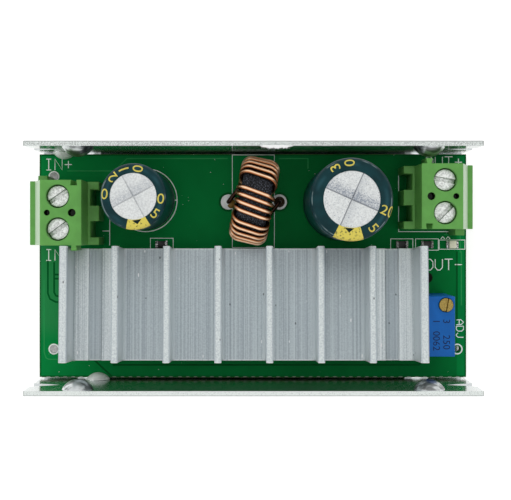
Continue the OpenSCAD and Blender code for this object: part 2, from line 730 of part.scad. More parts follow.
module inductor_winding() color("sandybrown") at_coil() {
    last = len(turns) - 1;
    body = [for (i = [0 : last - 1]) for (p = turn_path(i)) p];
    tail = concat(
        corner(turns[last][0], wind_out - wind_r, wind_r - wind_x, -90),
        corner(turns[last][0] + turns[last][1], wind_out - wind_r, wind_x - wind_r, 0)
    );
    coil = concat(cut(body, 1, len(body) - 1), cut(tail, 0, len(tail) - 2));
    path = concat(lead_path(-1, coil[0]), coil, back(lead_path(1, coil[len(coil) - 1])));
    n = len(path);
    points = [for (i = [0 : n - 1])
        let (along = unit(path[min(i + 1, n - 1)][0] - path[max(i - 1, 0)][0]), a = path[i][1])
        let (round = [0, -cos(a), -sin(a)], up = unit(round - (round * along) * along))
        let (out = cross(along, up))
        for (k = [0 : wire_sides - 1])
            path[i][0] + wire_r * (cos(360 * k / wire_sides) * up + sin(360 * k / wire_sides) * out)];
    faces = concat(
        [[for (k = [0 : wire_sides - 1]) k]],
        [for (i = [0 : n - 2]) for (k = [0 : wire_sides - 1]) for (half = [0, 1])
            let (p = i * wire_sides + k, q = i * wire_sides + (k + 1) % wire_sides)
            half == 0 ? [p, q + wire_sides, q] : [p, p + wire_sides, q + wire_sides]],
        [[for (k = [wire_sides - 1 : -1 : 0]) (n - 1) * wire_sides + k]]
    );
    polyhedron(points, faces);
}

module at_trimmer() translate([trim_x, trim_y, top_z]) children();

module trimmer_housing() color("royalblue") at_trimmer() difference() {
    union() {
        translate([0, 0, trim_foot]) slab([trim_w, trim_l, trim_h - trim_foot]);
        for (s = [-1, 1]) translate([0, s * (trim_l / 2 - trim_foot), 0])
            slab([trim_w, 2 * trim_foot, trim_foot + eps]);
    }
    translate([trim_screw[0], trim_screw[1], trim_h - trim_head_h - trim_stem_h - run])
        cylinder(d = trim_stem_d + run, h = trim_head_h + trim_stem_h);
    translate([trim_screw[0], trim_screw[1], trim_h + trim_screw_out - trim_head_h - run / 2])
        cylinder(d = trim_screw_d + run, h = trim_head_h + run);
}

module trimmer_screw() color("goldenrod") at_trimmer()
    translate([trim_screw[0], trim_screw[1], trim_h + trim_screw_out]) difference() {
        union() {
            translate([0, 0, -trim_head_h]) cylinder(d = trim_screw_d, h = trim_head_h);
            translate([0, 0, -trim_head_h - trim_stem_h]) cylinder(d = trim_stem_d, h = trim_stem_h + eps);
        }
        translate([0, 0, -trim_slot_d]) slab([trim_slot_w, 2 * trim_screw_d, trim_slot_d + eps]);
    }

module trimmer_pins() color("silver") at_trimmer() for (s = [-1, 0, 1])
    translate([0, s * trim_pin_pitch, -board_t - tail_l])
        cylinder(d = trim_pin_d, h = board_t + tail_l + trim_foot);

// Chip part with metal caps that stand slightly proud at both ends
module chip(x, h) translate([x, chip_y, top_z]) {
    translate([0, 0, chip_rim]) slab([chip_l - 2 * chip_rim, chip_w - 2 * chip_rim, h - 2 * chip_rim]);
    for (s = [-1, 1]) translate([s * (chip_l - chip_cap_l) / 2, 0, 0]) slab([chip_cap_l, chip_w, h]);
}

module status_lamp() color("ivory") translate([led_x, chip_y, top_z]) {
    slab([chip_l, chip_w, led_base_h]);
    slab([chip_l - 2 * chip_cap_l, chip_w, led_h]);
}

module lamp_resistor() color("black") chip(led_x - chip_pitch, chip_h);
module feedback_resistor() color("black") chip(led_x - 2 * chip_pitch, chip_h);
module bypass_capacitor() color("tan") chip(-bypass_shift, bypass_h);

// Cone of solder under the board round every lead
module solder_joints() color("silver") for (h = lead_holes)
    translate([h[0], h[1], board_z - joint_h]) difference() {
        cylinder(d1 = h[2] + joint_rim / 2, d2 = h[2] + 2 * joint_rim, h = joint_h);
        translate([0, 0, -eps]) cylinder(d = h[2], h = joint_h + 2 * eps);
    }

tray();
circuit_board();
heatsink();
switch_tape();
diode_tape();
switch_body();
switch_leadframe();
diode_body();
diode_leadframe();
controller_body();
controller_leads();
input_block();
output_block();
input_block_bars();
output_block_bars();
input_plus_screw();
input_minus_screw();
output_plus_screw();
output_minus_screw();
input_plus_cage();
input_minus_cage();
output_plus_cage();
output_minus_cage();
input_capacitor_can();
input_capacitor_sleeve();
input_capacitor_seal();
input_capacitor_leads();
output_capacitor_can();
output_capacitor_sleeve();
output_capacitor_seal();
output_capacitor_leads();
inductor_core();
inductor_winding();
trimmer_housing();
trimmer_screw();
trimmer_pins();
status_lamp();
lamp_resistor();
feedback_resistor();
bypass_capacitor();
solder_joints();
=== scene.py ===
"""Looks of the boost converter module: finishes, soft edges, print, winding, stage and camera."""

import json
import math

import bmesh
import bpy
from bpy.props import FloatProperty, FloatVectorProperty, PointerProperty
from mathutils import Matrix, Vector

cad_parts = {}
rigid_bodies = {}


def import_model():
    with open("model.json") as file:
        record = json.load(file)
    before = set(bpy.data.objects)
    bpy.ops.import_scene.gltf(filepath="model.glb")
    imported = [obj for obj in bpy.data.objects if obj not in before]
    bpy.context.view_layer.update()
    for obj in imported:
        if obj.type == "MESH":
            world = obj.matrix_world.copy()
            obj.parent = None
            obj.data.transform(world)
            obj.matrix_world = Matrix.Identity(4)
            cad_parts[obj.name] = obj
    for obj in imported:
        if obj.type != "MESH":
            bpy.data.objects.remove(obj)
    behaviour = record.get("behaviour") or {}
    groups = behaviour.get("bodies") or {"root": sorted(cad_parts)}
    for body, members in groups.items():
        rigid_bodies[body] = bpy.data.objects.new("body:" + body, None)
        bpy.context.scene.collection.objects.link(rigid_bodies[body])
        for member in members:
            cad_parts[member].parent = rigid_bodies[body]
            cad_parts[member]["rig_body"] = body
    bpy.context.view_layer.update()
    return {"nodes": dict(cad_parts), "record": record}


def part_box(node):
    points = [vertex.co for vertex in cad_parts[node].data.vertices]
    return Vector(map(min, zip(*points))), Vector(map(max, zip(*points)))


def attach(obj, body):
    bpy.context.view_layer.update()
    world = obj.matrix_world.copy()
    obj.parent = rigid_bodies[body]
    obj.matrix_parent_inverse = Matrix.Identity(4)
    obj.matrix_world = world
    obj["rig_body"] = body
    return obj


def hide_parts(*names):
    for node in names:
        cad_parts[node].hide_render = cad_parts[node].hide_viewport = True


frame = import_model()

bl_info = {
    "name": "Boost converter module looks",
    "version": (1, 0, 0),
    "blender": (4, 5, 0),
    "location": "View3D > Sidebar > Module",
    "description": "Dresses the boost converter module and sets its stage",
    "category": "Object",
}

MM = 0.001
ROOT = "module"
POLES = ("input_plus", "input_minus", "output_plus", "output_minus")
# A place this near to a face counts as on it, in millimetres
ON_FACE = 0.02
# Single-line letters of the board's print, on a height of 1 round their middle
STROKES = {
    "I": [[(-0.22, 0), (0.22, 0)], [(-0.22, 1), (0.22, 1)], [(0, 0), (0, 1)]],
    "N": [[(-0.33, 0), (-0.33, 1), (0.33, 0), (0.33, 1)]],
    "O": [[(-0.36, 0.25), (-0.36, 0.75), (-0.14, 1), (0.14, 1), (0.36, 0.75), (0.36, 0.25), (0.14, 0),
           (-0.14, 0), (-0.36, 0.25)]],
    "U": [[(-0.33, 1), (-0.33, 0.24), (-0.12, 0), (0.12, 0), (0.33, 0.24), (0.33, 1)]],
    "T": [[(-0.36, 1), (0.36, 1)], [(0, 0), (0, 1)]],
    "+": [[(-0.33, 0.5), (0.33, 0.5)], [(0, 0.17), (0, 0.83)]],
    "-": [[(-0.33, 0.5), (0.33, 0.5)]],
    "A": [[(-0.34, 0), (-0.34, 0.65), (0, 1), (0.34, 0.65), (0.34, 0)], [(-0.34, 0.4), (0.34, 0.4)]],
    "D": [[(-0.34, 0), (-0.34, 1), (0.1, 1), (0.34, 0.75), (0.34, 0.25), (0.1, 0), (-0.34, 0)]],
    "J": [[(-0.3, 0.25), (-0.1, 0), (0.08, 0), (0.3, 0.25), (0.3, 1)]],
}
# The board's words: text, middle in millimetres, then turn in degrees and share of the letter height
WORDS = (("IN+", -32.43, 16.89), ("IN-", -32.43, 1.79), ("OUT+", 31.85, 17.28), ("OUT-", 31.85, 0.19),
         ("ADJ", 34.55, -10.5, -90, 0.66))
# Printed boxes round the chip parts: clearance at the sides, in front and behind, in millimetres
CHIP_BOXES = (("lamp_resistor", 0.9, 0.32, 0.32), ("feedback_resistor", 0.85, 0.32, 0.32),
              ("status_lamp", 1.15, 0.16, 0.13), ("bypass_capacitor", 0.9, 0.3, 0.42))
# Raised edges of the copper areas under the mask, in millimetres
TRACK_EDGES = [
    [(-31.0, 15.82), (-23.2, 15.82), (-21.0, 17.9), (-4.2, 17.9)],
    [(4.3, 17.9), (9.2, 17.9), (9.2, 16.2)],
    [(-34.84, -2.4), (-34.84, -14.4), (-34.54, -15.36), (-34.1, -15.6), (-31.0, -15.67)],
    [(34.8, 2.4), (34.8, -6.6)],
    [(31.9, 5.2), (34.6, 5.2), (34.6, 2.2)],
]
# Darker gaps between the copper areas, in millimetres; the long line before the heat sink is painted shade,
# the edge of the heat sink's shadow drawn as a dark line
TRACK_GAPS = [
    [(-34.22, 0.9), (-34.22, -4.6), (-33.86, -5.55), (-32.9, -6.05), (-31.0, -6.1)],
    [(-33.17, 0.6), (-33.17, -4.45), (-32.88, -4.98), (-32.3, -5.15), (-31.0, -5.15)],
    [(-33.1, -1.46), (-31.0, -1.46)],
    [(-33.1, -2.15), (-31.0, -2.15)],
    [(-26.4, -15.8), (-23.6, -18.4)],
    # Painted shade: edge of the heat sink's shadow on the board
    [(-23.4, -16.55), (27.7, -16.55), (28.3, -16.1)],
    [(34.05, 2.4), (34.05, -9.0)],
]
# Plated holes in millimetres; solder fills the first two
HOLES = [(-33.2, 14.902), (-33.2, -13.902), (34.1, -13.902)]
# Groups of turns: how many, first angle and step in the bore in degrees, share of that step on the outside,
# and the end of the group to which the outside gathers: 0 the first turn, 1 the last
COIL_GROUPS = ((4, -165, 13, 0.9, 1), (5, -98.75, 13.5, 0.76, 1), (4, -20, 12.2, 0.84, 0.5),
               (5, 31.25, 13.5, 0.76, 0), (4, 113, 13, 0.9, 0))
# Plain numbers on the sleeves: text, angle in degrees, how far down the shoulder in millimetres
SLEEVE_NUMBERS = {
    "input": (("0", -6, 0.15), ("5", -39, 0.2), ("0", 79, 0.2), ("1", 108, 0.3), ("2", 136, 0.2),
              ("0", 174, 0.3)),
    "output": (("5", -54, 0.1), ("20", -19, 0.4), ("0", 93, 0.2), ("3", 117, 0.1)),
}
# Plain numbers on the trimmer: text and place in millimetres
TRIMMER_NUMBERS = (("3", 30.5, -8.5), ("250", 30.5, -11.8), ("1", 28.9, -8.5), ("0062", 28.9, -11.6))


def srgb(*levels):
    """Screen levels from 0 to 255 as the linear colour that shaders take."""
    return tuple((v / 255 / 12.92) if v < 11 else ((v / 255 + 0.055) / 1.055) ** 2.4 for v in levels)


def length(name, description, mm):
    """A size in the sidebar, given here in millimetres."""
    return FloatProperty(name=name, description=description, default=mm * MM, unit="LENGTH", precision=5)


def angle(name, description, degrees):
    """A turn in the sidebar, given here in degrees."""
    return FloatProperty(name=name, description=description, default=math.radians(degrees), subtype="ANGLE")


def tint(name, description, *levels):
    """A colour in the sidebar, given here in screen levels."""
    return FloatVectorProperty(name=name, description=description, default=srgb(*levels), size=3,
                               min=0, max=1, subtype="COLOR")


class TrayLooks(bpy.types.PropertyGroup):
    """Finish of the folded sheet."""

    sheet: tint("Sheet", "Rolled face of the sheet", 214, 219, 219)
    sheared: tint("Sheared edge", "Cut edges of the sheet", 226, 232, 229)
    # Bare metal: real wear on the scuffed rear edge, and a painted reflection on the pressed tabs
    bare: tint("Bare metal", "Scuffed edge and pressed tabs", 250, 251, 250)
    scuff_start: length("Scuff start", "Place along the rear wall where the scuffed edge starts", 1)
    scuff_end: length("Scuff end", "Place along the rear wall where the scuffed edge ends", 6.1)
    burr: length("Burr", "How far the scuffed edge stands in from the wall", 0.6)
    wall: length("Wall", "Thickness of the sheet", 0.8)
    tab_top: length("Tab top", "Height that parts the tabs from the domes above them", 8)


class BoardLooks(bpy.types.PropertyGroup):
    """Solder mask, print and pads of the board."""

    mask: tint("Solder mask", "Mask over bare laminate", 0, 98, 43)
    pour: tint("Mask over copper", "Mask where copper lies under it", 6, 130, 62)
    laminate: tint("Laminate", "Cut edge of the board", 150, 160, 104)
    # Painted shade of a shadowed hole
    spot: tint("Dark spot", "Dark round spot before the output block", 20, 20, 16)
    ink: tint("Print", "White print on the mask", 250, 255, 251)
    line: length("Print line", "Width of a printed line", 0.15)
    ink_rise: length("Print height", "How far print stands on the mask", 0.02)
    letter: length("Letter height", "Height of the printed words", 1.82)
    ring: length("Plated ring", "Outside diameter of the rings round the plated holes", 1.85)
    coil_pad: length("Inductor pad", "Outside diameter of the inductor's solder pads", 2.6)
    solder: tint("Solder", "Solder in the plated holes and under the board", 188, 187, 187)
    tin: tint("Tin", "Tinned rings and pads", 250, 252, 250)
    # Painted shade over the inductor's output pad, where a shadowed hole shows
    flux: tint("Burnt flux", "Burnt flux round the inductor's output lead", 62, 48, 36)
    amber: tint("Amber flux", "Flux beside the inductor's input lead", 136, 106, 50)
    edge_line: length("Track edge", "Width of the raised track edges", 0.2)
    gap_line: length("Track gap", "Width of the gaps between copper areas", 0.3)


class SinkLooks(bpy.types.PropertyGroup):
    """Finish of the extrusion."""

    metal: tint("Aluminium", "Satin extruded metal", 197, 207, 210)
    groove: tint("Groove", "Darker metal in the die lines", 160, 170, 177)
    # Painted light: brighter colour of the fin sides and end faces
    wall: tint("Fin side", "Brighter drawn sides of the fins", 226, 233, 235)
    # Painted light: the two colours of the outer bays, brighter than the middle bays
    outer: tint("Outer bays", "Die lines of the outer bays", 182, 191, 195)
    bright: tint("Outer metal", "Bright metal of the outer bays", 230, 236, 237)
    top: tint("Fin top", "Mottled tops of the fins and sawn edges", 214, 221, 220)
    nick: tint("Nick", "Fresh metal in the nicks", 244, 244, 244)
    edge: length("Edge", "Rounding of the sawn edges", 0.07)
    groove_x: length("Groove place", "Distance of the grooves from the middle", 23.85)
    groove_w: length("Groove width", "Width of the grooves", 2.14)
    outer_x: length("Outer bays' place", "Distance from the middle at which the outer bays start", 20.2)
    fin: length("Fin height", "Height of the fins over the bays", 8)
    tilt: angle("Tilt", "How far the heat sink tips back", 3.6)


class TerminalLooks(bpy.types.PropertyGroup):
    """Finish of the screw terminals."""

    housing: tint("Housing", "Green moulding", 96, 160, 76)
    plating: tint("Plating", "Plated steel of the screws", 238, 242, 238)
    # Painted sheen of the slopes over the wire entries
    frost: tint("Frosted slope", "Pale sheen of the slopes over the wire entries", 206, 224, 200)
    slope: length("Slope", "Distance of the top's front edge from the wire entry face", 2.55)
    ledge: length("Ledge", "Height of the ledge over the wire entries", 14.2)
    pegs: length("Peg holes", "Distance of the pair of peg holes from the wire entry face", 5.525)
    peg_span: length("Peg span", "Distance between the two peg holes", 3.85)
    edge: length("Edge", "Rounding of the moulded edges", 0.08)
    screw_edge: length("Screw edge", "Rounding of the screw heads", 0.07)


class CapacitorLooks(bpy.types.PropertyGroup):
    """Sleeves, cans and print of the capacitors."""

    sleeve: tint("Sleeve", "Shrunk film", 15, 55, 60)
    gleam: tint("Sleeve gleam", "Lighter film where the shoulder catches the light", 44, 88, 98)
    # Painted highlight streaks along the shoulder
    streak: tint("Sleeve streak", "Pale streaks along the shoulder's crest", 150, 170, 172)
    ink: tint("Ink", "Print on the sleeves", 216, 201, 92)
    can: tint("Can", "Bare top of the can", 226, 229, 228)
    can_shade: tint("Can shade", "Shaded grain beside the vent's creases", 142, 149, 160)
    rubber: tint("Seal", "Rubber seal under the can", 24, 24, 25)
    input_disc: length("Input top", "Diameter of the input capacitor's bare top", 7)
    output_disc: length("Output top", "Diameter of the output capacitor's bare top", 8.5)
    input_turn: angle("Input vent", "Turn of the input capacitor's vent cross", 28.5)
    output_turn: angle("Output vent", "Turn of the output capacitor's vent cross", -24)
    input_field: angle("Input field", "Direction of the input capacitor's polarity field", -81)
    output_field: angle("Output field", "Direction of the output capacitor's polarity field", -95)
    sleeve_wall: length("Sleeve wall", "Thickness of the shrunk film", 0.2)
    shoulder: length("Shoulder", "Radius of the sleeve's upper edge", 1)
    waist: length("Waist", "Height of the waist round the seal", 3.2)
    waist_bow: length("Waist bow", "Radius of the waist", 0.7)
    waist_depth: length("Waist depth", "Depth of the waist", 0.45)
    letter: length("Letter height", "Height of the printed numbers", 1.65)
    ink_rise: length("Print height", "How far the print stands out from the film", 0.03)


class InductorLooks(bpy.types.PropertyGroup):
    """Core and winding of the inductor."""

    copper: tint("Copper", "Enamelled copper on the crown of the wire", 255, 218, 181)
    flank: tint("Copper flank", "Copper beside the crown", 187, 111, 59)
    # Painted shade between the turns and on the leads
    shade: tint("Copper shade", "Darker enamel between the turns", 62, 32, 17)
    core: tint("Core", "Coated powder core", 22, 22, 24)
    core_spark: tint("Core grain", "Lighter grains in the core's coating", 84, 88, 98)
    core_od: length("Core outside", "Outside diameter of the ring core", 12.7)
    core_id: length("Core bore", "Bore of the ring core", 7.7)
    core_w: length("Core width", "Width of the ring core", 4.83)
    core_edge: length("Core edge", "Radius of the core's coated edges", 1)
    wire: length("Wire", "Diameter of the wire", 0.7)
    clear: length("Clearance", "Gap between wire and core", 0.03)
    lean: angle("Lean", "Turn of the inductor on the board", 10.8)
    lead_span: length("Lead span", "Distance between the two solder holes", 8.5)
    lead_rise: length("Lead rise", "Height at which the leads bend to the winding", 0.8)
    tail: length("Tail", "Length of the leads under the board", 1.5)


class SmallLooks(bpy.types.PropertyGroup):
    """Trimmer, chip parts and power packages."""

    trimmer: tint("Trimmer", "Blue moulding", 13, 95, 174)
    trimmer_ink: tint("Trimmer print", "Dark print on the trimmer", 8, 34, 78)
    brass: tint("Brass", "Adjusting screw", 170, 146, 82)
    moulding: tint("Moulding", "Black moulding compound", 30, 30, 31)
    chip: tint("Chip body", "Glazed resistor body", 26, 25, 25)
    chip_dark: tint("Chip capacitor", "Dark glazed body of the chip capacitor", 18, 17, 16)
    lamp: tint("Lamp", "Lens of the status lamp", 246, 242, 216)
    tape: tint("Tape", "Heat conducting tape", 214, 214, 208)
    tin: tint("Tin", "Tinned leads and end caps", 208, 208, 204)
    # Painted glints on the chip parts' ends
    tin_glint: tint("Bright tin", "Bright places on the chip parts' ends", 238.6, 238.6, 237.4)
    edge: length("Edge", "Rounding of moulded edges", 0.1)
    screw_edge: length("Screw edge", "Rounding of the adjusting screw", 0.06)
    chip_edge: length("Chip edge", "Rounding of the chip parts", 0.04)
    chip_end: length("End cap", "Length of a chip part's metal ends", 0.4)
    letter: length("Letter height", "Height of the trimmer's numbers", 1.1)
    ink_rise: length("Print height", "Thickness of the trimmer's print", 0.02)
    trimmer_slot: angle("Trimmer slot", "Turn of the adjusting screw's slot", -10)


class StageLooks(bpy.types.PropertyGroup):
    """Camera, floor and light."""

    camera_x: length("Camera X", "Camera's place along the module", -1.31)
    camera_y: length("Camera Y", "Camera's place across the module", 5.63)
    camera_z: length("Camera Z", "Camera's height above the floor", 195.4)
    lens: FloatProperty(name="Lens", description="Focal length on a 36 mm sensor", default=80.2)
    shift_x: FloatProperty(name="Shift X", description="Sideways shift of the frame", default=0.0205)
    shift_y: FloatProperty(name="Shift Y", description="Upward shift of the frame", default=-0.0352)
    floor: tint("Floor", "Pale floor", 244, 244, 243)
    sky: FloatProperty(name="Surround", description="Strength of the soft light from all round", default=0.8)
    key: FloatProperty(name="Key light", description="Power of the large lamp above", default=0.5,
                       unit="POWER")
    side: FloatProperty(name="Side light", description="Power of the low lamp", default=0.1, unit="POWER")


class ModuleLooks(bpy.types.PropertyGroup):
    """All looks of the module."""

    tray: PointerProperty(type=TrayLooks)
    board: PointerProperty(type=BoardLooks)
    sink: PointerProperty(type=SinkLooks)
    terminals: PointerProperty(type=TerminalLooks)
    capacitors: PointerProperty(type=CapacitorLooks)
    inductor: PointerProperty(type=InductorLooks)
    small: PointerProperty(type=SmallLooks)
    stage: PointerProperty(type=StageLooks)


def looks():
    """The looks that the sidebar edits."""
    return bpy.context.scene.module_looks


def box_mm(node):
    """Lowest and highest corner of a node, in millimetres."""
    return [Vector(corner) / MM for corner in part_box(node)]


def centre(node):
    """Middle of a node's box."""
    low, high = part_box(node)
    return (Vector(low) + Vector(high)) / 2


def board_top():
    """Height of the board's upper face."""
    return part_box("circuit_board")[1][2]


class Wire:
    """A socket in a material's nodes; sums written on it add Math nodes."""

    def __init__(self, tree, socket=None):
        self.tree = tree
        self.socket = socket

    def node(self, kind, settings, sockets, out=0):
        """Adds any node: its settings first, then the values or links of its sockets."""
        node = self.tree.nodes.new(kind)
        for name, value in settings.items():
            setattr(node, name, value)
        for key, value in sockets.items():
            if isinstance(value, Wire):
                self.tree.links.new(value.socket, node.inputs[key])
            else:
                node.inputs[key].default_value = value
        return Wire(self.tree, node.outputs[out] if node.outputs else None)

    def maths(self, operation, *values):
        """A Math node on these values."""
        return self.node("ShaderNodeMath", {"operation": operation}, dict(enumerate(values)))

    def __add__(self, other):
        return self.maths("ADD", self, other)

    __radd__ = __add__

    def __sub__(self, other):
        return self.maths("SUBTRACT", self, other)

    def __rsub__(self, other):
        return self.maths("SUBTRACT", other, self)

    def __mul__(self, other):
        return self.maths("MULTIPLY", self, other)

    __rmul__ = __mul__

    def __abs__(self):
        return self.maths("ABSOLUTE", self)

    def __gt__(self, other):
        return self.maths("GREATER_THAN", self, other)

    def __lt__(self, other):
        return self.maths("LESS_THAN", self, other)

    def within(self, low, high):
        """1 between two values, 0 outside them."""
        return (self > low) * (self < high)

    def most(self, other):
        """The larger of two values."""
        return self.maths("MAXIMUM", self, other)

    def sine(self):
        """Sine of a value in radians."""
        return self.maths("SINE", self)

    def root(self):
        """Square root."""
        return self.maths("SQRT", self)

    def axes(self):
        """The three parts of a place."""
        split = self.node("ShaderNodeSeparateXYZ", {}, {0: self}).socket.node
        return [Wire(self.tree, part) for part in split.outputs]

    def stretched(self, x, y, z):
        """The place with each part multiplied, which stretches a pattern."""
        return self.node("ShaderNodeVectorMath", {"operation": "MULTIPLY"}, {0: self, 1: (x, y, z)})

    def moved(self, x, y, z):
        """The place seen from another middle."""
        return self.node("ShaderNodeVectorMath", {"operation": "SUBTRACT"}, {0: self, 1: (x, y, z)})

    def noise(self, scale, detail=2.0):
        """Soft noise at this place, about 0 to 1."""
        return self.node("ShaderNodeTexNoise", {}, {"Vector": self, "Scale": scale, "Detail": detail})

    def streaks(self, x, y, z, detail):
        """Noise drawn out along the parts that are multiplied least."""
        return self.stretched(x, y, z).noise(1, detail)

    def cells(self, scale):
        """Distance to the nearest of scattered points."""
        return self.node("ShaderNodeTexVoronoi", {}, {"Vector": self, "Scale": scale})

    def rise(self, low, high):
        """0 below low, 1 above high, smooth between them."""
        sockets = {"Value": self, "From Min": low, "From Max": high}
        return self.node("ShaderNodeMapRange", {"interpolation_type": "SMOOTHSTEP"}, sockets)

    def mix(self, low, high):
        """One colour where this is 0 and another where it is 1."""
        low = low if isinstance(low, Wire) else (*low, 1)
        high = high if isinstance(high, Wire) else (*high, 1)
        return self.node("ShaderNodeMix", {"data_type": "RGBA"}, {0: self, 6: low, 7: high}, 2)


class Finish:
    """A material being made: its places in millimetres and its shader."""

    def __init__(self, name):
        self.material = bpy.data.materials.new(name)
        self.material.use_nodes = True
        tree = self.material.node_tree
        tree.nodes.clear()
        surface = Wire(tree).node("ShaderNodeBsdfPrincipled", {}, {})
        surface.node("ShaderNodeOutputMaterial", {}, {"Surface": surface})
        self.shader = surface.socket.node
        places = surface.node("ShaderNodeTexCoord", {}, {}, "Object")
        self.mm = places.node("ShaderNodeVectorMath", {"operation": "SCALE"}, {0: places, "Scale": 1 / MM})

    def set(self, sockets):
        """Sets or links the shader's sockets."""
        for name, value in sockets.items():
            if isinstance(value, Wire):
                value.tree.links.new(value.socket, self.shader.inputs[name])
            elif isinstance(value, (int, float)):
                self.shader.inputs[name].default_value = value
            else:
                self.shader.inputs[name].default_value = (*value, 1)

    def coat(self, colour, rough, height, depth_mm, **others):
        """Sets colour, roughness, fine relief from a height of 0 to 1, and the shader's other sockets."""
        bump = height.node("ShaderNodeBump", {}, {"Height": height, "Distance": depth_mm * MM})
        self.set({"Base Color": colour, "Roughness": rough, "Normal": bump})
        self.set({name.replace("_", " "): value for name, value in others.items()})
        return self


def darker(colour, share):
    """A colour taken down by a share of itself."""
    return tuple(v * (1 - share) for v in colour)


def turned(x, y, turn):
    """A place's two level parts, along axes turned by an angle."""
    return x * math.cos(turn) + y * math.sin(turn), y * math.cos(turn) - x * math.sin(turn)


def plastic(name, colour, rough=0.38, grain=0.006, spread=0.12, shine=0.2):
    """A moulded plastic with slight cloudiness and a fine moulded grain."""
    finish = Finish(name)
    cloud = finish.mm.noise(0.7, 3)
    fine = finish.mm.noise(9, 2)
    body = cloud.rise(0.3, 0.7).mix(darker(colour, spread), colour)
    return finish.coat(body, rough + 0.14 * (fine - 0.5), fine, grain, Specular_IOR_Level=shine)


def metal(name, colour, rough=0.3, grain=0.008, spread=0.25, scale=3.0, share=1.0):
    """A plated or bare metal with mottled tone and grain; a share below 1 dulls its reflections."""
    finish = Finish(name)
    cloud = finish.mm.noise(scale, 4)
    fine = finish.mm.noise(4 * scale, 3)
    body = cloud.rise(0.35, 0.65).mix(darker(colour, spread), colour)
    return finish.coat(body, rough + 0.25 * (fine - 0.5), fine, grain, Metallic=share)


def tray_finish():
    """Rolled sheet: bright walls, sheared edges, a scuffed rear edge, domes with painted dark reflections in
    patches, and tabs painted pale as a reflection of the bright surround.
    """
    look = looks().tray
    finish = Finish("rolled_sheet")
    high = box_mm("tray")[1]
    x, y, z = finish.mm.axes()
    inside, tab_top = high.y - look.wall / MM, look.tab_top / MM
    start, end = look.scuff_start / MM, look.scuff_end / MM
    rolled = finish.mm.streaks(0.06, 5, 5, 3)
    grain = finish.mm.noise(7, 3)
    cut = (z > high.z - ON_FACE).most(abs(x) > high.x - ON_FACE)
    along = x.rise(start, start + 0.6) * (1 - x.rise(end - 0.9, end))
    ragged = finish.mm.streaks(3.4, 0, 0.12, 4)
    scuff = along * y.within(inside - 0.4, inside + 0.1) * (z + 18 * ragged).rise(high.z + 2.5, high.z + 4)
    pressed = (abs(y) < inside - 0.05) * (z > board_top() / MM + ON_FACE)
    tabs = pressed * (z < tab_top)
    domes = pressed * (z > tab_top) * (z < high.z - 0.1)
    # Painted dark reflection: the domes darkened in cloudy patches
    dome_dark_reflection = domes * finish.mm.stretched(0.5, 1, 1.4).noise(0.9, 2).rise(0.4, 0.6)
    white = cut.most(scuff)
    corner = 0.14
    arris = (abs(y) > high.y - corner).most(abs(x) > high.x - corner) * (0.4 + 0.6 * grain.rise(0.4, 0.6))
    fleck = (grain - 0.1 * (y > 0)).rise(0.3, 0.46)
    face = rolled.rise(0.3, 0.7).mix(darker(look.sheet, 0.1), look.sheet)
    sheared = fleck.mix(darker(look.sheared, 0.48), look.sheared)
    edge = (0.8 * arris).mix(sheared, darker(look.sheared, 0.6))
    sheet = white.mix(dome_dark_reflection.mix(face, darker(look.sheet, 0.72)), edge)
    # Painted reflection: the pressed tabs mixed towards the pale bare colour, as though they mirror the
    # bright surround; the scuff is real wear
    return finish.coat(scuff.most(0.8 * tabs).mix(sheet, look.bare),
                       0.13 + 0.1 * rolled + 0.34 * white + 0.14 * pressed,
                       rolled * 0.12 + grain * (0.1 + 0.9 * white + 4 * tabs), 0.012,
                       Metallic=0.95 - 0.5 * white - 0.45 * scuff - 0.85 * tabs)


def wall_burr():
    """Ragged burr that the scuff has drawn out from the rear wall's upper edge."""
    look = looks().tray
    back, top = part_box("tray")[1][1] - look.wall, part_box("tray")[1][2] - 0.005 * MM
    root, drop, foot = back + 0.05 * MM, 0.03 * MM, 0.4 * MM
    steps = 64
    mesh = bmesh.new()
    rows = []
    for i in range(steps + 1):
        share = i / steps
        x = look.scuff_start + share * (look.scuff_end - look.scuff_start)
        swell = math.sin(math.pi * share) ** 0.6
        tooth = abs(math.sin(37 * share)) * abs(math.sin(13 * share + 1))
        reach = look.burr * swell * (0.45 + 0.55 * tooth)
        places = [(x, root, top), (x, back - reach, top - drop), (x, root, top - foot)]
        rows.append([mesh.verts.new(place) for place in places])
    for first, second in zip(rows, rows[1:]):
        for a, b in ((0, 1), (1, 2), (2, 0)):
            mesh.faces.new((first[a], first[b], second[b], second[a]))
    mesh.faces.new(rows[0])
    mesh.faces.new(rows[-1])
    bmesh.ops.recalc_face_normals(mesh, faces=mesh.faces)
    return mesh


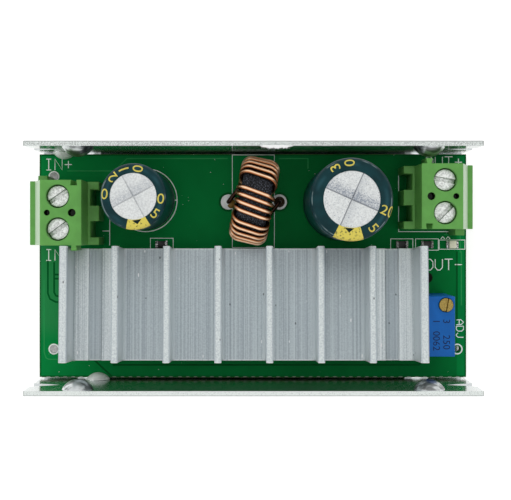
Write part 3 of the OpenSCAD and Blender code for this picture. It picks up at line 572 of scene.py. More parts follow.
def board_finish():
    """Solder mask over copper and laminate, with the layers of glass on the cut edges, painted shade along
    the board and before the heat sink, a painted dark spot, a painted sheen at the left end and a painted
    reflection along the front edge.
    """
    look = looks().board
    finish = Finish("solder_mask")
    low, high = box_mm("circuit_board")
    x, y, z = finish.mm.axes()
    # Distances from the board's edge between which the copper starts
    bare, poured = 0.25, 0.35
    rim = (abs(x) > high.x - ON_FACE).most(abs(y) > high.y - ON_FACE)
    sides, ends = (abs(part).rise(edge - poured, edge - bare) for part, edge in ((x, high.x), (y, high.y)))
    pour = 1 - sides.most(ends)
    cloud = finish.mm.noise(0.25, 3)
    weave = finish.mm.stretched(1, 1, 0).noise(2.2, 1)
    # Painted shade along the board: darker from the left end towards the middle and again past the middle,
    # lighter at the right edge; and the heat sink's painted shadow on a strip before it
    painted_shade_along = 0.52 * x.rise(-30, -20) + 0.44 * x.rise(2, 8) - 0.7 * x.rise(33.9, 34.2)
    # Painted shadow of the heat sink on the board before it
    sink_shadow = 0.2 * y.rise(-16.6, -16.4) * (y < -14) * (abs(x - 2.3) < 25.9)
    shaded = painted_shade_along + sink_shadow
    # Mask colour from the copper under it, darkened by the painted shade
    mask = (pour * (1.05 - 0.75 * shaded + 0.5 * (cloud - 0.5))).mix(look.mask, look.pour)
    layers = (z * 12 + 2 * cloud).sine().rise(-0.7, 0.3)
    strands = finish.mm.streaks(2.6, 2.6, 1.2, 3).rise(0.36, 0.62)
    glass = (layers * (0.35 + 0.65 * strands)).mix(darker(look.laminate, 0.5), look.laminate)
    dust = (finish.mm.cells(0.9) < 0.045) * finish.mm.noise(0.6).rise(0.5, 0.56)
    # Painted shade: a dark round spot where a shadowed hole shows before the output block
    right, ahead, _ = finish.mm.moved(29.1, -2, 0).axes()
    spot = 1 - (right * right + ahead * ahead).root().rise(0.8, 1)
    # Painted reflection: pale dashes along the front edge, as of the laminate's weave mirrored there
    edge_reflection = (y < low.y + 0.15) * (x * 4.6 + 3 * cloud).sine().rise(0, 0.5)
    # Painted sheen: a faint pale tint at the left end of the board
    painted_sheen = 0.018 * (1 - x.rise(-33.5, -29.5)) * (1 - abs(y).rise(9, 13))
    # Real dust, with the painted reflection and sheen, mixed towards the ink colour
    worn = dust.most(0.25 * edge_reflection).most(painted_sheen).mix(mask, look.ink)
    return finish.coat(rim.mix(spot.mix(worn, look.spot), glass), 0.3 + 0.1 * weave + 0.3 * rim,
                       weave + 0.8 * pour, 0.01, Specular_IOR_Level=0.03)


def sink_finish():
    """Satin extrusion: die lines along the bays, mottled tops, pits and nicks, with painted light on the fin
    sides, the groove lips and the outer bays, and painted shade on the fin sides towards the crests and along
    the grooves' inner steps.
    """
    look = looks().sink
    finish = Finish("extruded_metal")
    low, high = box_mm("heatsink")
    x, y, z = finish.mm.axes()
    across = abs(x - (low.x + high.x) / 2)
    slope, outer, fin = math.tan(look.tilt), look.outer_x / MM, look.fin / MM
    # Heights and depths measured square to the tipped fins
    level = z + (y - high.y) * slope
    crest = high.z - (high.y - low.y) * slope
    depth = y + (crest - level) * slope
    front = low.y + (crest - low.z) * slope
    inner, rim = ((look.groove_x + side * look.groove_w / 2) / MM for side in (-1, 1))
    groove = across.within(inner, rim)
    # Painted shade: a dark line along each groove's inner step
    step_shade = across.within(inner - 0.02, inner + 0.16)
    # Painted highlight along each groove's outer wall
    lip_light = across.within(rim - 0.1, rim + 0.04)
    lines = finish.mm.streaks(3.4, 0.006, 0, 5)
    broad = finish.mm.streaks(0.9, 0.01, 0, 2)
    frost = finish.mm.noise(9, 3)
    speck = finish.mm.noise(4.5, 3).rise(0.3, 0.7)
    pits = (finish.mm.stretched(1, 0.6, 1).cells(0.5) < 0.06) * 0.8
    chips = finish.mm.moved(3, 1, 0).stretched(1.6, 0.45, 1).cells(0.6) < 0.085
    nicks = chips * finish.mm.noise(0.5).rise(0.5, 0.6)
    tops = level.rise(crest - 0.05, crest - 0.02)
    floors = 1 - level.rise(crest - fin + 0.8, crest - fin + 1.1)
    # Painted light: the floors of the outer bays coloured brighter than the middle bays
    pale = across.rise(outer, outer + 0.6) * (1 - groove) * floors
    ends = across > (high.x - low.x) / 2 - 0.05
    # Painted light: fin sides and end faces coloured brighter, fading out near the crest
    sides = (level.rise(crest - fin, crest - fin + 0.3) * (1 - pale)).most(ends)
    walls = sides * (1 - level.rise(crest - 1.5, crest - 0.3))
    sawn = depth.rise(high.y - 0.4, high.y - 0.1) * finish.mm.streaks(2.5, 0, 0, 3).rise(0.4, 0.5)
    torn = (1 - depth.rise(front + 0.1, front + 0.3)) * finish.mm.streaks(3, 0, 0, 3).rise(0.35, 0.5)
    tone = (0.74 * lines + 0.18 * broad + 0.08 * speck).rise(0.38, 0.6)
    dark, light = pale.mix(look.groove, look.outer), pale.mix(look.metal, look.bright)
    satin = (tone * (1 - 0.3 * groove)).mix(dark, light)
    # Painted shade: the upper parts darker towards the crest
    under = 0.35 * level.rise(crest - 4, crest - 0.5)
    # Painted light and shade of the fin sides laid on the satin metal
    drawn = under.mix(walls.most(lip_light).mix(satin, look.wall), look.groove)
    step_shaded = (0.5 * step_shade).mix(drawn, darker(look.groove, 0.6))
    lifted = (tops * (0.35 + 0.65 * speck)).most(0.8 * sawn).most(torn).mix(step_shaded, look.top)
    marked = nicks.mix(pits.mix(lifted, darker(look.groove, 0.75)), look.nick)
    return finish.coat(marked, 0.42 + 0.12 * frost, 0.6 * lines + 0.25 * frost, 0.03, Metallic=0.4)


def terminal_finish(end):
    """Green moulding, with a pale painted sheen on the slope over the wire entries and painted shade in the
    peg holes.
    """
    look = looks().terminals
    finish = Finish(end + "_moulding")
    low, high = box_mm(end + "_block")
    x, y, z = finish.mm.axes()
    entry = x - low.x if end == "input" else high.x - x
    outer = entry < look.slope / MM - 0.08
    # Painted sheen: the slope over the wire entries mixed towards a pale tint
    frost = outer * (z > look.ledge / MM + 0.15) * (0.4 + 0.5 * finish.mm.streaks(0, 0.25, 2.4, 2))
    row = (centre(end + "_plus_screw").y + centre(end + "_minus_screw").y) / 2 / MM
    aside = abs(entry - look.pegs / MM) - look.peg_span / MM / 2
    away = y - row
    reach_squared = 0.8
    # Painted shade: the peg holes coloured nearly black
    pegs = (aside * aside + away * away < reach_squared) * (z < high.z - 0.1)
    cloud = finish.mm.noise(0.7, 3)
    fine = finish.mm.noise(9, 2)
    green = cloud.rise(0.3, 0.7).mix(darker(look.housing, 0.1), look.housing)
    moulded = pegs.mix(frost.mix(green, look.frost), darker(look.housing, 0.94))
    return finish.coat(moulded, 0.33 + 0.14 * (fine - 0.5), fine, 0.004, Specular_IOR_Level=0.25)


def sleeve_finish(end):
    """Shrunk film with a worn polarity field and its sign, and painted highlights over the shoulder: pale
    streaks along its crest and lighter patches.
    """
    look = looks().capacitors
    finish = Finish(end + "_sleeve_film")
    low, high = box_mm(end + "_capacitor_sleeve")
    middle = (low + high) / 2
    local = finish.mm.moved(*middle)
    x, y, z = local.axes()
    top, rim = high.z - middle.z, (high.x - low.x) / 2
    disc = getattr(look, end + "_disc") / MM / 2
    radius = (x * x + y * y).root()
    along, offset = turned(x, y, getattr(look, end + "_field"))
    across = abs(offset)
    half_field = 0.38
    field = (along > 0) * (across < radius * math.sin(half_field)) * (z > top - 1.5)
    sign = (across < 0.62 - (along - disc - 0.15) * 1.1) * (along > disc + 0.05) * (z > top - 0.6)
    wear = 0 if end == "input" else 0.03
    worn = finish.mm.noise(2.4, 4).rise(0.3 + wear, 0.42 + 2 * wear)
    ink = field * (1 - sign) * (0.25 + 0.75 * worn)
    cloud = finish.mm.noise(0.5, 3)
    film = cloud.rise(0.3, 0.7).mix(darker(look.sleeve, 0.35), look.sleeve)
    # Painted highlights: pale streaks along the shoulder's crest, and lighter patches round it where it
    # catches the light
    crest = (1 - abs(radius - 0.95 * rim).rise(0.03, 0.1)) * (z > top - 1)
    streaks = crest * local.moved(3, 7, 0).stretched(1, 1, 0).noise(0.35, 2).rise(0.5, 0.62)
    patches = local.stretched(1, 1, 0).noise(0.3, 1).rise(0.45, 0.65)
    glow = (1 - abs(radius - 0.84 * rim).rise(0, 0.5)) * patches
    lit = (0.5 * streaks).mix((0.4 * glow).mix(film, look.gleam), look.streak)
    printed = ink.mix(sign.mix(lit, darker(look.sleeve, 0.7)), look.ink)
    return finish.coat(printed, 0.26 + 0.16 * cloud, finish.mm.noise(1.6, 2), 0.02, Specular_IOR_Level=0.12)


def can_finish(end, middle, mark):
    """Bare can top: fine grain, and the creases of the vent cross painted dark, with painted shade beside
    them.
    """
    look = looks().capacitors
    finish = Finish(end + "_can_top_metal")
    x, y, _ = finish.mm.moved(middle.x / MM, middle.y / MM, 0).axes()
    u, v = turned(x, y, getattr(look, end + "_turn"))
    # Painted shade: dark lines in the vent's creases
    crease = 1 - u.maths("MINIMUM", abs(u), abs(v)).rise(0.04, 0.13)
    upper = v.rise(-0.05, 0.05) * (1 - v.rise(0.3, 2.4))
    right = u.rise(-0.05, 0.05) * (1 - u.rise(0.2, 1.8))
    fine = finish.mm.noise(7, 3)
    grain = finish.mm.noise(3.5, 4).rise(0.36, 0.62).mix(darker(look.can, 0.16), look.can)
    # Painted shade beside the creases, with the grain's darker specks
    shade = 0.3 * upper + 0.25 * right + (fine + 0.12 * upper).rise(0.56, 0.7)
    shaded = (mark * shade).mix(grain, look.can_shade)
    creased = (0.8 * mark * crease).mix(shaded, darker(look.can_shade, 0.6))
    return finish.coat(creased, 0.34 + 0.25 * (fine - 0.5), fine, 0.006, Metallic=1)


def copper_finish():
    """Enamelled copper: painted highlight on the crowns of the turns, painted shade between them."""
    look = looks().inductor
    finish = Finish("enamelled_copper")
    cloud = finish.mm.noise(1.4, 3)
    fine = finish.mm.noise(11, 2)
    crown = finish.mm.node("ShaderNodeAttribute", {"attribute_name": "crown"}, {}, "Fac")
    crown = crown + 0.08 * (cloud - 0.5)
    # Painted shade, flank and highlight, chosen by the crown
    flank = crown.rise(0.45, 0.86).mix(look.shade, look.flank)
    return finish.coat(crown.rise(0.84, 0.98).mix(flank, look.copper), 0.24 + 0.14 * fine, fine, 0.004,
                       Metallic=0.85, Coat_Weight=0.3, Coat_Roughness=0.1)


def core_finish():
    """Black coated core with a coarse skin."""
    look = looks().inductor
    finish = Finish("core_coating")
    lumps = finish.mm.noise(3.2, 4)
    grains = finish.mm.noise(6, 3).rise(0.5, 0.64)
    skin = lumps.rise(0.35, 0.7).mix(darker(look.core, 0.5), look.core)
    return finish.coat(grains.mix(skin, look.core_spark), 0.4 + 0.3 * lumps, lumps, 0.09,
                       Specular_IOR_Level=0.15)


def chip_finish(node, colour, bright):
    """Chip part: dark body between tinned ends, which are painted dark with painted glints on a share of
    them.
    """
    look = looks().small
    finish = Finish(node + "_finish")
    low, high = box_mm(node)
    x = finish.mm.moved(*(low + high) / 2).axes()[0]
    ends = abs(x) > (high.x - low.x) / 2 - look.chip_end / MM - ON_FACE
    fine = finish.mm.noise(6, 3)
    # Painted dark reflection on the tinned ends, with painted glints on a share of them
    tin = (bright * fine.rise(0.46, 0.58)).mix(darker(look.tin, 0.85), look.tin_glint)
    body = fine.mix(darker(colour, 0.3), colour)
    return finish.coat(ends.mix(body, tin), 0.3 + 0.15 * fine, fine, 0.012, Metallic=ends)


def finish_node(node, finish):
    """Gives a CAD node its material."""
    data = frame["nodes"][node].data
    data.materials.clear()
    data.materials.append(finish.material)


def slot_of(node):
    """The record's material slot of a CAD node."""
    return next(s["material_slot"] for s in frame["record"]["subparts"] if s["node"] == node)


def add_piece(name, mesh, finish, body, slot, crease=40.0):
    """Makes a finished object of a bmesh and lets it ride on a body."""
    data = bpy.data.meshes.new(name)
    mesh.to_mesh(data)
    mesh.free()
    data.materials.append(finish.material)
    data.shade_smooth()
    data.set_sharp_from_angle(angle=math.radians(crease))
    piece = bpy.data.objects.new(name, data)
    bpy.context.scene.collection.objects.link(piece)
    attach(piece, body)
    return piece


def stand_for(node, name, mesh, finish, crease=40.0):
    """A finished piece that stands for a CAD node."""
    piece = add_piece(name, mesh, finish, frame["nodes"][node]["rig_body"], slot_of(node), crease)
    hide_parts(node)


def softened(node, width):
    """A copy of a node's solid with its sharp edges rounded."""
    mesh = bmesh.new()
    mesh.from_mesh(frame["nodes"][node].data)
    flat, sharp = math.radians(1), math.radians(35)
    bmesh.ops.remove_doubles(mesh, verts=mesh.verts, dist=0.002 * MM)
    bmesh.ops.dissolve_limit(mesh, angle_limit=flat, verts=mesh.verts, edges=mesh.edges)
    edges = [e for e in mesh.edges if len(e.link_faces) == 2 and e.calc_face_angle() > sharp]
    bmesh.ops.bevel(mesh, geom=edges, offset=width, offset_type="OFFSET", affect="EDGES", segments=2,
                    profile=0.5, material=-1, clamp_overlap=False)
    return mesh


def spun(profile, middle, steps):
    """A profile of (radius, height) points turned round an upright axis."""
    mesh = bmesh.new()
    verts = [mesh.verts.new((r, 0, h)) for r, h in profile]
    edges = [mesh.edges.new(pair) for pair in zip(verts, verts[1:])]
    bmesh.ops.spin(mesh, geom=verts + edges, cent=(0, 0, 0), axis=(0, 0, 1), angle=2 * math.pi, steps=steps,
                   use_merge=True)
    bmesh.ops.remove_doubles(mesh, verts=mesh.verts, dist=0.001 * MM)
    bmesh.ops.recalc_face_normals(mesh, faces=mesh.faces)
    bmesh.ops.translate(mesh, verts=mesh.verts, vec=middle)
    return mesh


def arc(middle, radius, first, last, count):
    """Points along an arc, angles in degrees."""
    angles = [math.radians(first + (last - first) * i / count) for i in range(count + 1)]
    return [(middle[0] + radius * math.cos(a), middle[1] + radius * math.sin(a)) for a in angles]


def swept(routes, radius, sides, closed=False):
    """Round strands along routes, as a bmesh."""
    curve = bpy.data.curves.new("strands", "CURVE")
    curve.dimensions = "3D"
    curve.bevel_depth = radius
    curve.bevel_resolution = sides
    curve.use_fill_caps = not closed
    for route in routes:
        spline = curve.splines.new("POLY")
        spline.points.add(len(route) - 1)
        for point, place in zip(spline.points, route):
            point.co = (*place, 1)
        spline.use_cyclic_u = closed
    return as_bmesh(curve)


def as_bmesh(curve):
    """The mesh that a curve or text makes."""
    carrier = bpy.data.objects.new("carrier", curve)
    bpy.context.scene.collection.objects.link(carrier)
    data = bpy.data.meshes.new_from_object(carrier.evaluated_get(bpy.context.evaluated_depsgraph_get()))
    mesh = bmesh.new()
    mesh.from_mesh(data)
    bpy.data.objects.remove(carrier)
    bpy.data.curves.remove(curve)
    bpy.data.meshes.remove(data)
    bmesh.ops.remove_doubles(mesh, verts=mesh.verts, dist=0.002 * MM)
    return mesh


def lettering(text, height, rise):
    """Flat raised characters round the origin, reading along X."""
    capital_share = 0.7
    curve = bpy.data.curves.new("lettering", "FONT")
    curve.body = text
    curve.size = height / capital_share
    curve.extrude = rise / 2
    curve.align_x = "CENTER"
    curve.align_y = "CENTER"
    curve.resolution_u = 4
    return as_bmesh(curve)


def join(mesh, other):
    """Adds one bmesh to another."""
    data = bpy.data.meshes.new("joined")
    other.to_mesh(data)
    other.free()
    mesh.from_mesh(data)
    bpy.data.meshes.remove(data)
    return mesh


def flat_lines(routes, width, share, closed=False):
    """Low strands on the board along routes in millimetres; share is their height over their width."""
    mesh = swept([[(x * MM, y * MM, 0) for x, y in route] for route in routes], width / 2, 1, closed)
    bmesh.ops.scale(mesh, vec=(1, 1, share), verts=mesh.verts)
    bmesh.ops.translate(mesh, vec=(0, 0, board_top()), verts=mesh.verts)
    return mesh


def word(text, x, y, turn=0.0, share=1.0):
    """Lines of a printed word round its middle, in millimetres and degrees."""
    height = share * looks().board.letter / MM
    pitch = 0.9 * height
    spin = Matrix.Rotation(math.radians(turn), 2)
    routes = []
    for i, letter in enumerate(text):
        shift = (i - (len(text) - 1) / 2) * pitch
        for stroke in STROKES[letter]:
            routes.append([spin @ Vector((shift + u * height, (v - 0.5) * height)) + Vector((x, y))
                           for u, v in stroke])
    return routes


def rectangle(left, front, right, back):
    """Corners of a printed box."""
    return [(left, front), (right, front), (right, back), (left, back)]


def box_round(node, side, front, back):
    """Corners of a printed box round a chip part, in millimetres."""
    low, high = box_mm(node)
    return rectangle(low.x - side, low.y - front, high.x + side, high.y + back)


def board_print():
    """Outlines and words printed on the board."""
    look = looks().board
    marked = ("input_capacitor_sleeve", "inductor_core", "status_lamp")
    cap, coil, lamp = (centre(node) / MM for node in marked)
    block_low, block_high = box_mm("output_block")
    back = box_mm("circuit_board")[1].y
    behind = box_mm("input_block")[1].x
    ring = (cap.x + 0.1, cap.y)
    closed = [arc(ring, 5.25, 0, 360, 72)[:-1]]
    closed.append(rectangle(coil.x - 3.6, coil.y - 7.6, coil.x + 3.42, back - 0.1))
    closed += [box_round(*row) for row in CHIP_BOXES]
    left, bottom = block_low.x + 0.12, block_low.y + 0.6
    strokes = [
        [(left, block_high.y - 1.5), (left, bottom), (block_high.x - 0.2, bottom)],
        [(behind + 0.9, 3.4), (behind + 0.9, 8.2)],
        [(behind - 0.3, 5.8), (behind + 0.9, 5.8)],
        [(cap.x + 4.9, cap.y), (cap.x + 5.35, cap.y)],
    ]
    wide, deep = 0.32, 0.36
    for shift in (-0.75, 0.35):
        x, y = lamp.x - 0.95 + 0.8 * shift, lamp.y + 1.31
        strokes.append([(x - wide, y - deep), (x, y), (x + wide, y - deep)])
    strokes.append(arc(ring, 4.7, -48, 48, 20))
    for row in WORDS:
        strokes += word(*row)
    share = 2 * look.ink_rise / look.line
    return join(flat_lines(closed, look.line, share, True), flat_lines(strokes, look.line, share))


def rings(places, profile):
    """A low turned form at several places on the board, in millimetres."""
    mesh = bmesh.new()
    shape = [(r * MM, h * MM) for r, h in profile]
    for x, y in places:
        join(mesh, spun(shape, (x * MM, y * MM, board_top()), 40))
    return mesh


def coil_place():
    """Where the inductor stands: its axis turned on the board."""
    return Matrix.Translation(centre("inductor_core")) @ Matrix.Rotation(-looks().inductor.lean, 4, "Z")


def coil_route():
    """Path of the wire: up one lead, round the core in groups of turns, down the other lead."""
    look = looks().inductor
    turns = []
    for count, first, step, pull, hold in COIL_GROUPS:
        start = first + (1 - pull) * hold * count * step
        turns += [(first + i * step, step, start + i * pull * step, pull * step) for i in range(count)]
    half = look.wire / 2
    bend = look.core_edge + half
    inner = look.core_id / 2 - half - look.clear
    outer = look.core_od / 2 + half + look.clear
    side = look.core_w / 2 + half + look.clear

    def wind(degrees, radius, x):
        a = math.radians(degrees)
        return Vector((x, -radius * math.sin(a), radius * math.cos(a)))

    def corner(degrees, slant, radius, x, start):
        ways = [(k / 6, math.radians(start + 15 * k)) for k in range(7)]
        return [wind(degrees + slant * t, radius + bend * math.cos(w), x + bend * math.sin(w))
                for t, w in ways]

    def outside(degrees, step):
        slant = step * 0.5 * math.pi * bend / (math.pi * bend + 2 * (side - bend))
        first = corner(degrees, slant, outer - bend, bend - side, -90)
        return first + corner(degrees + step - slant, slant, outer - bend, side - bend, 0)

    path = []
    for (place, step, *crossing), following in zip(turns, turns[1:]):
        path += outside(*crossing)
        path += corner(place + step, 0, inner + bend, side - bend, 90)
        path += corner(following[0], 0, inner + bend, bend - side, 180)
    path += outside(*turns[-1][2:])
    path = path[1:-1]

    foot = board_top() - centre("inductor_core").z
    thick = board_top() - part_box("circuit_board")[0][2]
    bends = [(0, 0.5), (0.05, 0.8), (0.15, 1), (0.35, 1.12), (0.6, 1.2)]

    def lead(way, end):
        hole = Matrix.Rotation(look.lean, 3, "Z") @ Vector((way * look.lead_span / 2, 0, 0))
        reach = Vector((end.x - hole.x, end.y - hole.y, 0))
        points = [Vector((hole.x, hole.y, foot - thick - look.tail))]
        for share, up in bends:
            points.append(hole + share * reach + Vector((0, 0, foot + up * look.lead_rise)))
        return points

    path = lead(-1, path[0]) + path + lead(1, path[-1])[::-1]
    return [coil_place() @ p for p in path]


def mark_crowns(mesh):
    """Notes how far each point of the wire faces up and away from the core, which places the painted
    highlight, and leaves the leads at 0, in the painted shade.
    """
    look = looks().inductor
    crown = mesh.verts.layers.float.new("crown")
    home = coil_place().inverted()
    bore, rim = look.core_id / 2 + look.core_edge, look.core_od / 2 - look.core_edge
    flat = look.core_w / 2 - look.core_edge
    # Tips the painted highlight towards the top, where the light falls
    upward = Vector((0, 0, 0.7))
    mesh.normal_update()
    for v in mesh.verts:
        place = home @ v.co
        spoke = Vector((0, place.y, place.z)).normalized()
        radius = place.dot(spoke)
        near = spoke * min(max(radius, bore), rim) + Vector((min(max(place.x, -flat), flat), 0, 0))
        away = place - near
        on_core = away.length < look.core_edge + 1.2 * look.wire
        bright = (away.normalized() + upward).normalized()
        v[crown] = max(0, (home.to_3x3() @ v.normal).dot(bright)) if on_core else 0


def core_ring():
    """The coated core: a ring with well rounded edges, upright on the board."""
    look = looks().inductor
    edge = look.core_edge
    bore, rim, flat = look.core_id / 2 + edge, look.core_od / 2 - edge, look.core_w / 2 - edge
    profile = []
    for i, corner in enumerate(((rim, flat), (bore, flat), (bore, -flat), (rim, -flat))):
        profile += arc(corner, edge, 90 * i, 90 * i + 90, 8)
    mesh = spun(profile + profile[:1], (0, 0, 0), 96)
    upright = coil_place() @ Matrix.Rotation(math.pi / 2, 4, "Y")
    bmesh.ops.transform(mesh, matrix=upright, verts=mesh.verts)
    return mesh


def can_top(disc, middle, top, turn):
    """Bare top of a can, pressed with a vent cross between four slight pillows."""
    rows = 26
    mesh = spun([(disc * i / rows, 0) for i in range(rows + 1)], (0, 0, 0), 144)
    groove, deep, swell = 0.12 * MM, 0.11 * MM, 0.12 * MM
    for v in mesh.verts:
        local = Matrix.Rotation(-turn, 2) @ v.co.xy
        near, far = sorted((abs(local.x), abs(local.y)))
        cut = math.exp(-(near / groove) ** 2) if far < 0.97 * disc else 0
        pillow = min(near / (0.3 * disc), 1) * max(0, 1 - (v.co.xy.length / disc) ** 2)
        v.co.z = swell * pillow - deep * cut
    bmesh.ops.translate(mesh, verts=mesh.verts, vec=(middle.x, middle.y, top))
    return mesh


class Shoulder:
    """The sleeve's outer skin, on which print is laid: over the flat top, round the edge and down."""

    def __init__(self, node):
        low, high = (Vector(corner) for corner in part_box(node))
        self.middle = (low + high) / 2
        self.top = high.z - looks().capacitors.ink_rise
        self.r = (high.x - low.x) / 2
        self.round = looks().capacitors.shoulder

    def place(self, turn, down, lift):
        """The point at an angle, this far down from where the flat top meets the rounding."""
        a = min(max(down / self.round, 0), math.pi / 2)
        below = max(down - self.round * math.pi / 2, 0)
        radius = self.r - self.round + (self.round + lift) * math.sin(a) + min(down, 0)
        height = self.top - self.round + (self.round + lift) * math.cos(a) - below
        spot = self.middle.xy + radius * Vector((math.cos(turn), math.sin(turn)))
        return Vector((*spot, height))


def sleeve_number(skin, text, degrees, down):
    """Plain number printed over a sleeve's shoulder, reading down the can."""
    look = looks().capacitors
    mesh = lettering(text, look.letter, look.ink_rise)
    bmesh.ops.triangulate(mesh, faces=mesh.faces)
    bmesh.ops.subdivide_edges(mesh, edges=mesh.edges, cuts=2, use_grid_fill=True)
    for v in mesh.verts:
        turn = math.radians(degrees) + v.co.y / (skin.r - skin.round / 2)
        v.co = skin.place(turn, down + v.co.x, v.co.z + 0.4 * look.ink_rise)
    return mesh


def dress_capacitor(end, mark):
    """Sleeve, can top and print of one capacitor; mark is how strongly the painted shade of its vent shows.
    """
    look = looks().capacitors
    sleeve, can = end + "_capacitor_sleeve", end + "_capacitor_can"
    disc, turn = getattr(look, end + "_disc"), getattr(look, end + "_turn")
    skin = Shoulder(sleeve)
    radius, base = skin.r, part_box(sleeve)[0][2]
    rise, wall, bow, dent = skin.top - base, look.sleeve_wall, look.waist_bow, look.waist_depth
    reach = math.degrees(math.acos((bow - dent) / bow))
    profile = [(disc / 2, rise - wall - 0.02 * MM), (disc / 2, rise)]
    profile += arc((radius - skin.round, rise - skin.round), skin.round, 90, 0, 10)
    profile += arc((radius - dent + bow, look.waist), bow, 180 - reach, 180 + reach, 10)
    profile += [(radius, 0), (radius - wall, 0), (radius - wall, 0.8 * MM)]
    film = spun(profile, (skin.middle.x, skin.middle.y, base), 128)
    stand_for(sleeve, end + "_capacitor_film", film, sleeve_finish(end), crease=50)
    bare = can_finish(end, skin.middle, mark)
    finish_node(can, bare)
    vent = can_top(disc / 2 - 0.01 * MM, skin.middle, skin.top - wall + 0.06 * MM, turn)
    add_piece(end + "_capacitor_vent", vent, bare, ROOT, slot_of(can), crease=60)
    numbers = bmesh.new()
    for text, degrees, down in SLEEVE_NUMBERS[end]:
        join(numbers, sleeve_number(skin, text, degrees, down * MM))
    ink = plastic(end + "_sleeve_ink", look.ink, rough=0.45, grain=0.003, spread=0.2)
    add_piece(end + "_capacitor_numbers", numbers, ink, ROOT, slot_of(sleeve), crease=60)
    finish_node(end + "_capacitor_seal", plastic(end + "_seal_rubber", look.rubber, rough=0.7))
    finish_node(end + "_capacitor_leads", metal(end + "_lead_tin", looks().small.tin))


class DressTray(bpy.types.Operator):
    """Gives the folded tray its rolled, sheared and scuffed finish"""

    bl_idname = "module.dress_tray"
    bl_label = "Tray"

    def execute(self, context):
        sheet = tray_finish()
        finish_node("tray", sheet)
        body = frame["nodes"]["tray"]["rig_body"]
        add_piece("wall_burr", wall_burr(), sheet, body, slot_of("tray"), crease=20)
        return {"FINISHED"}


class DressBoard(bpy.types.Operator):
    """Gives the board its mask, tracks, print, rings, solder and flux, with painted shade along the heat
    sink's front and over the inductor's output pad
    """

    bl_idname = "module.dress_board"
    bl_label = "Board"

    def execute(self, context):
        look = looks().board
        low_ridge = 0.14
        finish_node("circuit_board", board_finish())
        ink = plastic("board_ink", look.ink, rough=0.55, grain=0.004, spread=0.06)
        lighter = tuple(1.25 * v + 0.004 for v in look.pour)
        edge = plastic("mask_over_edge", lighter, rough=0.3, grain=0.003)
        gap = plastic("mask_in_gap", darker(look.mask, 0.2), rough=0.3, grain=0.003, shine=0.03)
        solder = metal("board_solder", look.solder, rough=0.4, grain=0.03, spread=0.3, scale=2.2, share=0.5)
        finish_node("solder_joints", solder)
        edges = flat_lines(TRACK_EDGES, look.edge_line, low_ridge)
        gaps = flat_lines(TRACK_GAPS, look.gap_line, low_ridge)
        for name, mesh, finish in (("board_print", board_print(), ink), ("board_track_edges", edges, edge),
                                   ("board_track_gaps", gaps, gap)):
            add_piece(name, mesh, finish, ROOT, slot_of("circuit_board"))
        self.pads(look, solder, gap)
        return {"FINISHED"}

    def pads(self, look, solder, gap):
        """Tinned rings of the plated holes, and the inductor's pads in their clear rings, with amber flux
        beside the input lead and painted shade over the output pad.
        """
        ring, pad = look.ring / MM / 2, look.coil_pad / MM / 2
        coil = centre("inductor_core") / MM
        feet = [(coil.x + side * looks().inductor.lead_span / MM / 2, coil.y) for side in (-1, 1)]
        beside = [(feet[0][0] + 0.45, feet[0][1] - 0.25)]
        tin = plastic("pad_tin", look.tin, rough=0.4, grain=0.012, spread=0.15)
        pad_shade_finish = plastic("painted_pad_shade", look.flux, rough=0.25, grain=0.02, spread=0.3)
        amber = plastic("amber_flux", look.amber, rough=0.25, grain=0.02, spread=0.3)
        # Each form's finish, the CAD node whose slot is passed along, its places, and its section of radius
        # and height
        forms = {
            "via_rings": (tin, "solder_joints", HOLES,
                          [(ring - 0.24, 0), (ring - 0.2, 0.06), (ring - 0.05, 0.05), (ring, -0.02)]),
            "via_fills": (solder, "solder_joints", HOLES[:2],
                          [(0, -0.02), (0.3, 0), (ring - 0.3, 0.04), (ring - 0.24, -0.02)]),
            "pad_clear_rings": (gap, "circuit_board", feet,
                                [(pad - 0.05, -0.01), (pad, 0.014), (pad + 0.3, 0.014), (pad + 0.36, -0.01)]),
            "inductor_pads": (tin, "solder_joints", feet,
                              [(0.33, 0.42), (0.5, 0.26), (0.8, 0.14), (pad - 0.12, 0.07), (pad, -0.02)]),
            # Painted shade: a dark mound over the output pad's centre
            "inductor_painted_pad_shade": (pad_shade_finish, "solder_joints", feet[1:],
                                    [(0.35, 0.47), (0.5, 0.3), (0.8, 0.17), (0.95, 0.1)]),
            "inductor_flux": (amber, "solder_joints", beside,
                              [(0, 0.46), (0.4, 0.38), (0.65, 0.24), (0.8, 0.08)]),
        }
        for name, (finish, node, places, section) in forms.items():
            add_piece(name, rings(places, section), finish, ROOT, slot_of(node))


class DressHeatSink(bpy.types.Operator):
    """Gives the heat sink its satin extrusion finish and soft edges"""

    bl_idname = "module.dress_heat_sink"
    bl_label = "Heat sink"

    def execute(self, context):
        stand_for("heatsink", "heat_sink_extrusion", softened("heatsink", looks().sink.edge), sink_finish())
        return {"FINISHED"}


class DressPowerPackages(bpy.types.Operator):
    """Finishes the packages, tapes and controller under the heat sink"""

    bl_idname = "module.dress_power_packages"
    bl_label = "Power packages"

    def execute(self, context):
        look = looks().small
        moulding = plastic("moulding_compound", look.moulding, rough=0.55, grain=0.012)
        tin = metal("package_tin", look.tin)
        tape = plastic("tape_pad", look.tape, rough=0.8, grain=0.03)
        for node in ("switch_body", "diode_body", "controller_body"):
            stand_for(node, node + "_moulding", softened(node, look.edge), moulding)
        for node in ("switch_leadframe", "diode_leadframe", "controller_leads"):
            finish_node(node, tin)
        for node in ("switch_tape", "diode_tape"):
            finish_node(node, tape)
        return {"FINISHED"}


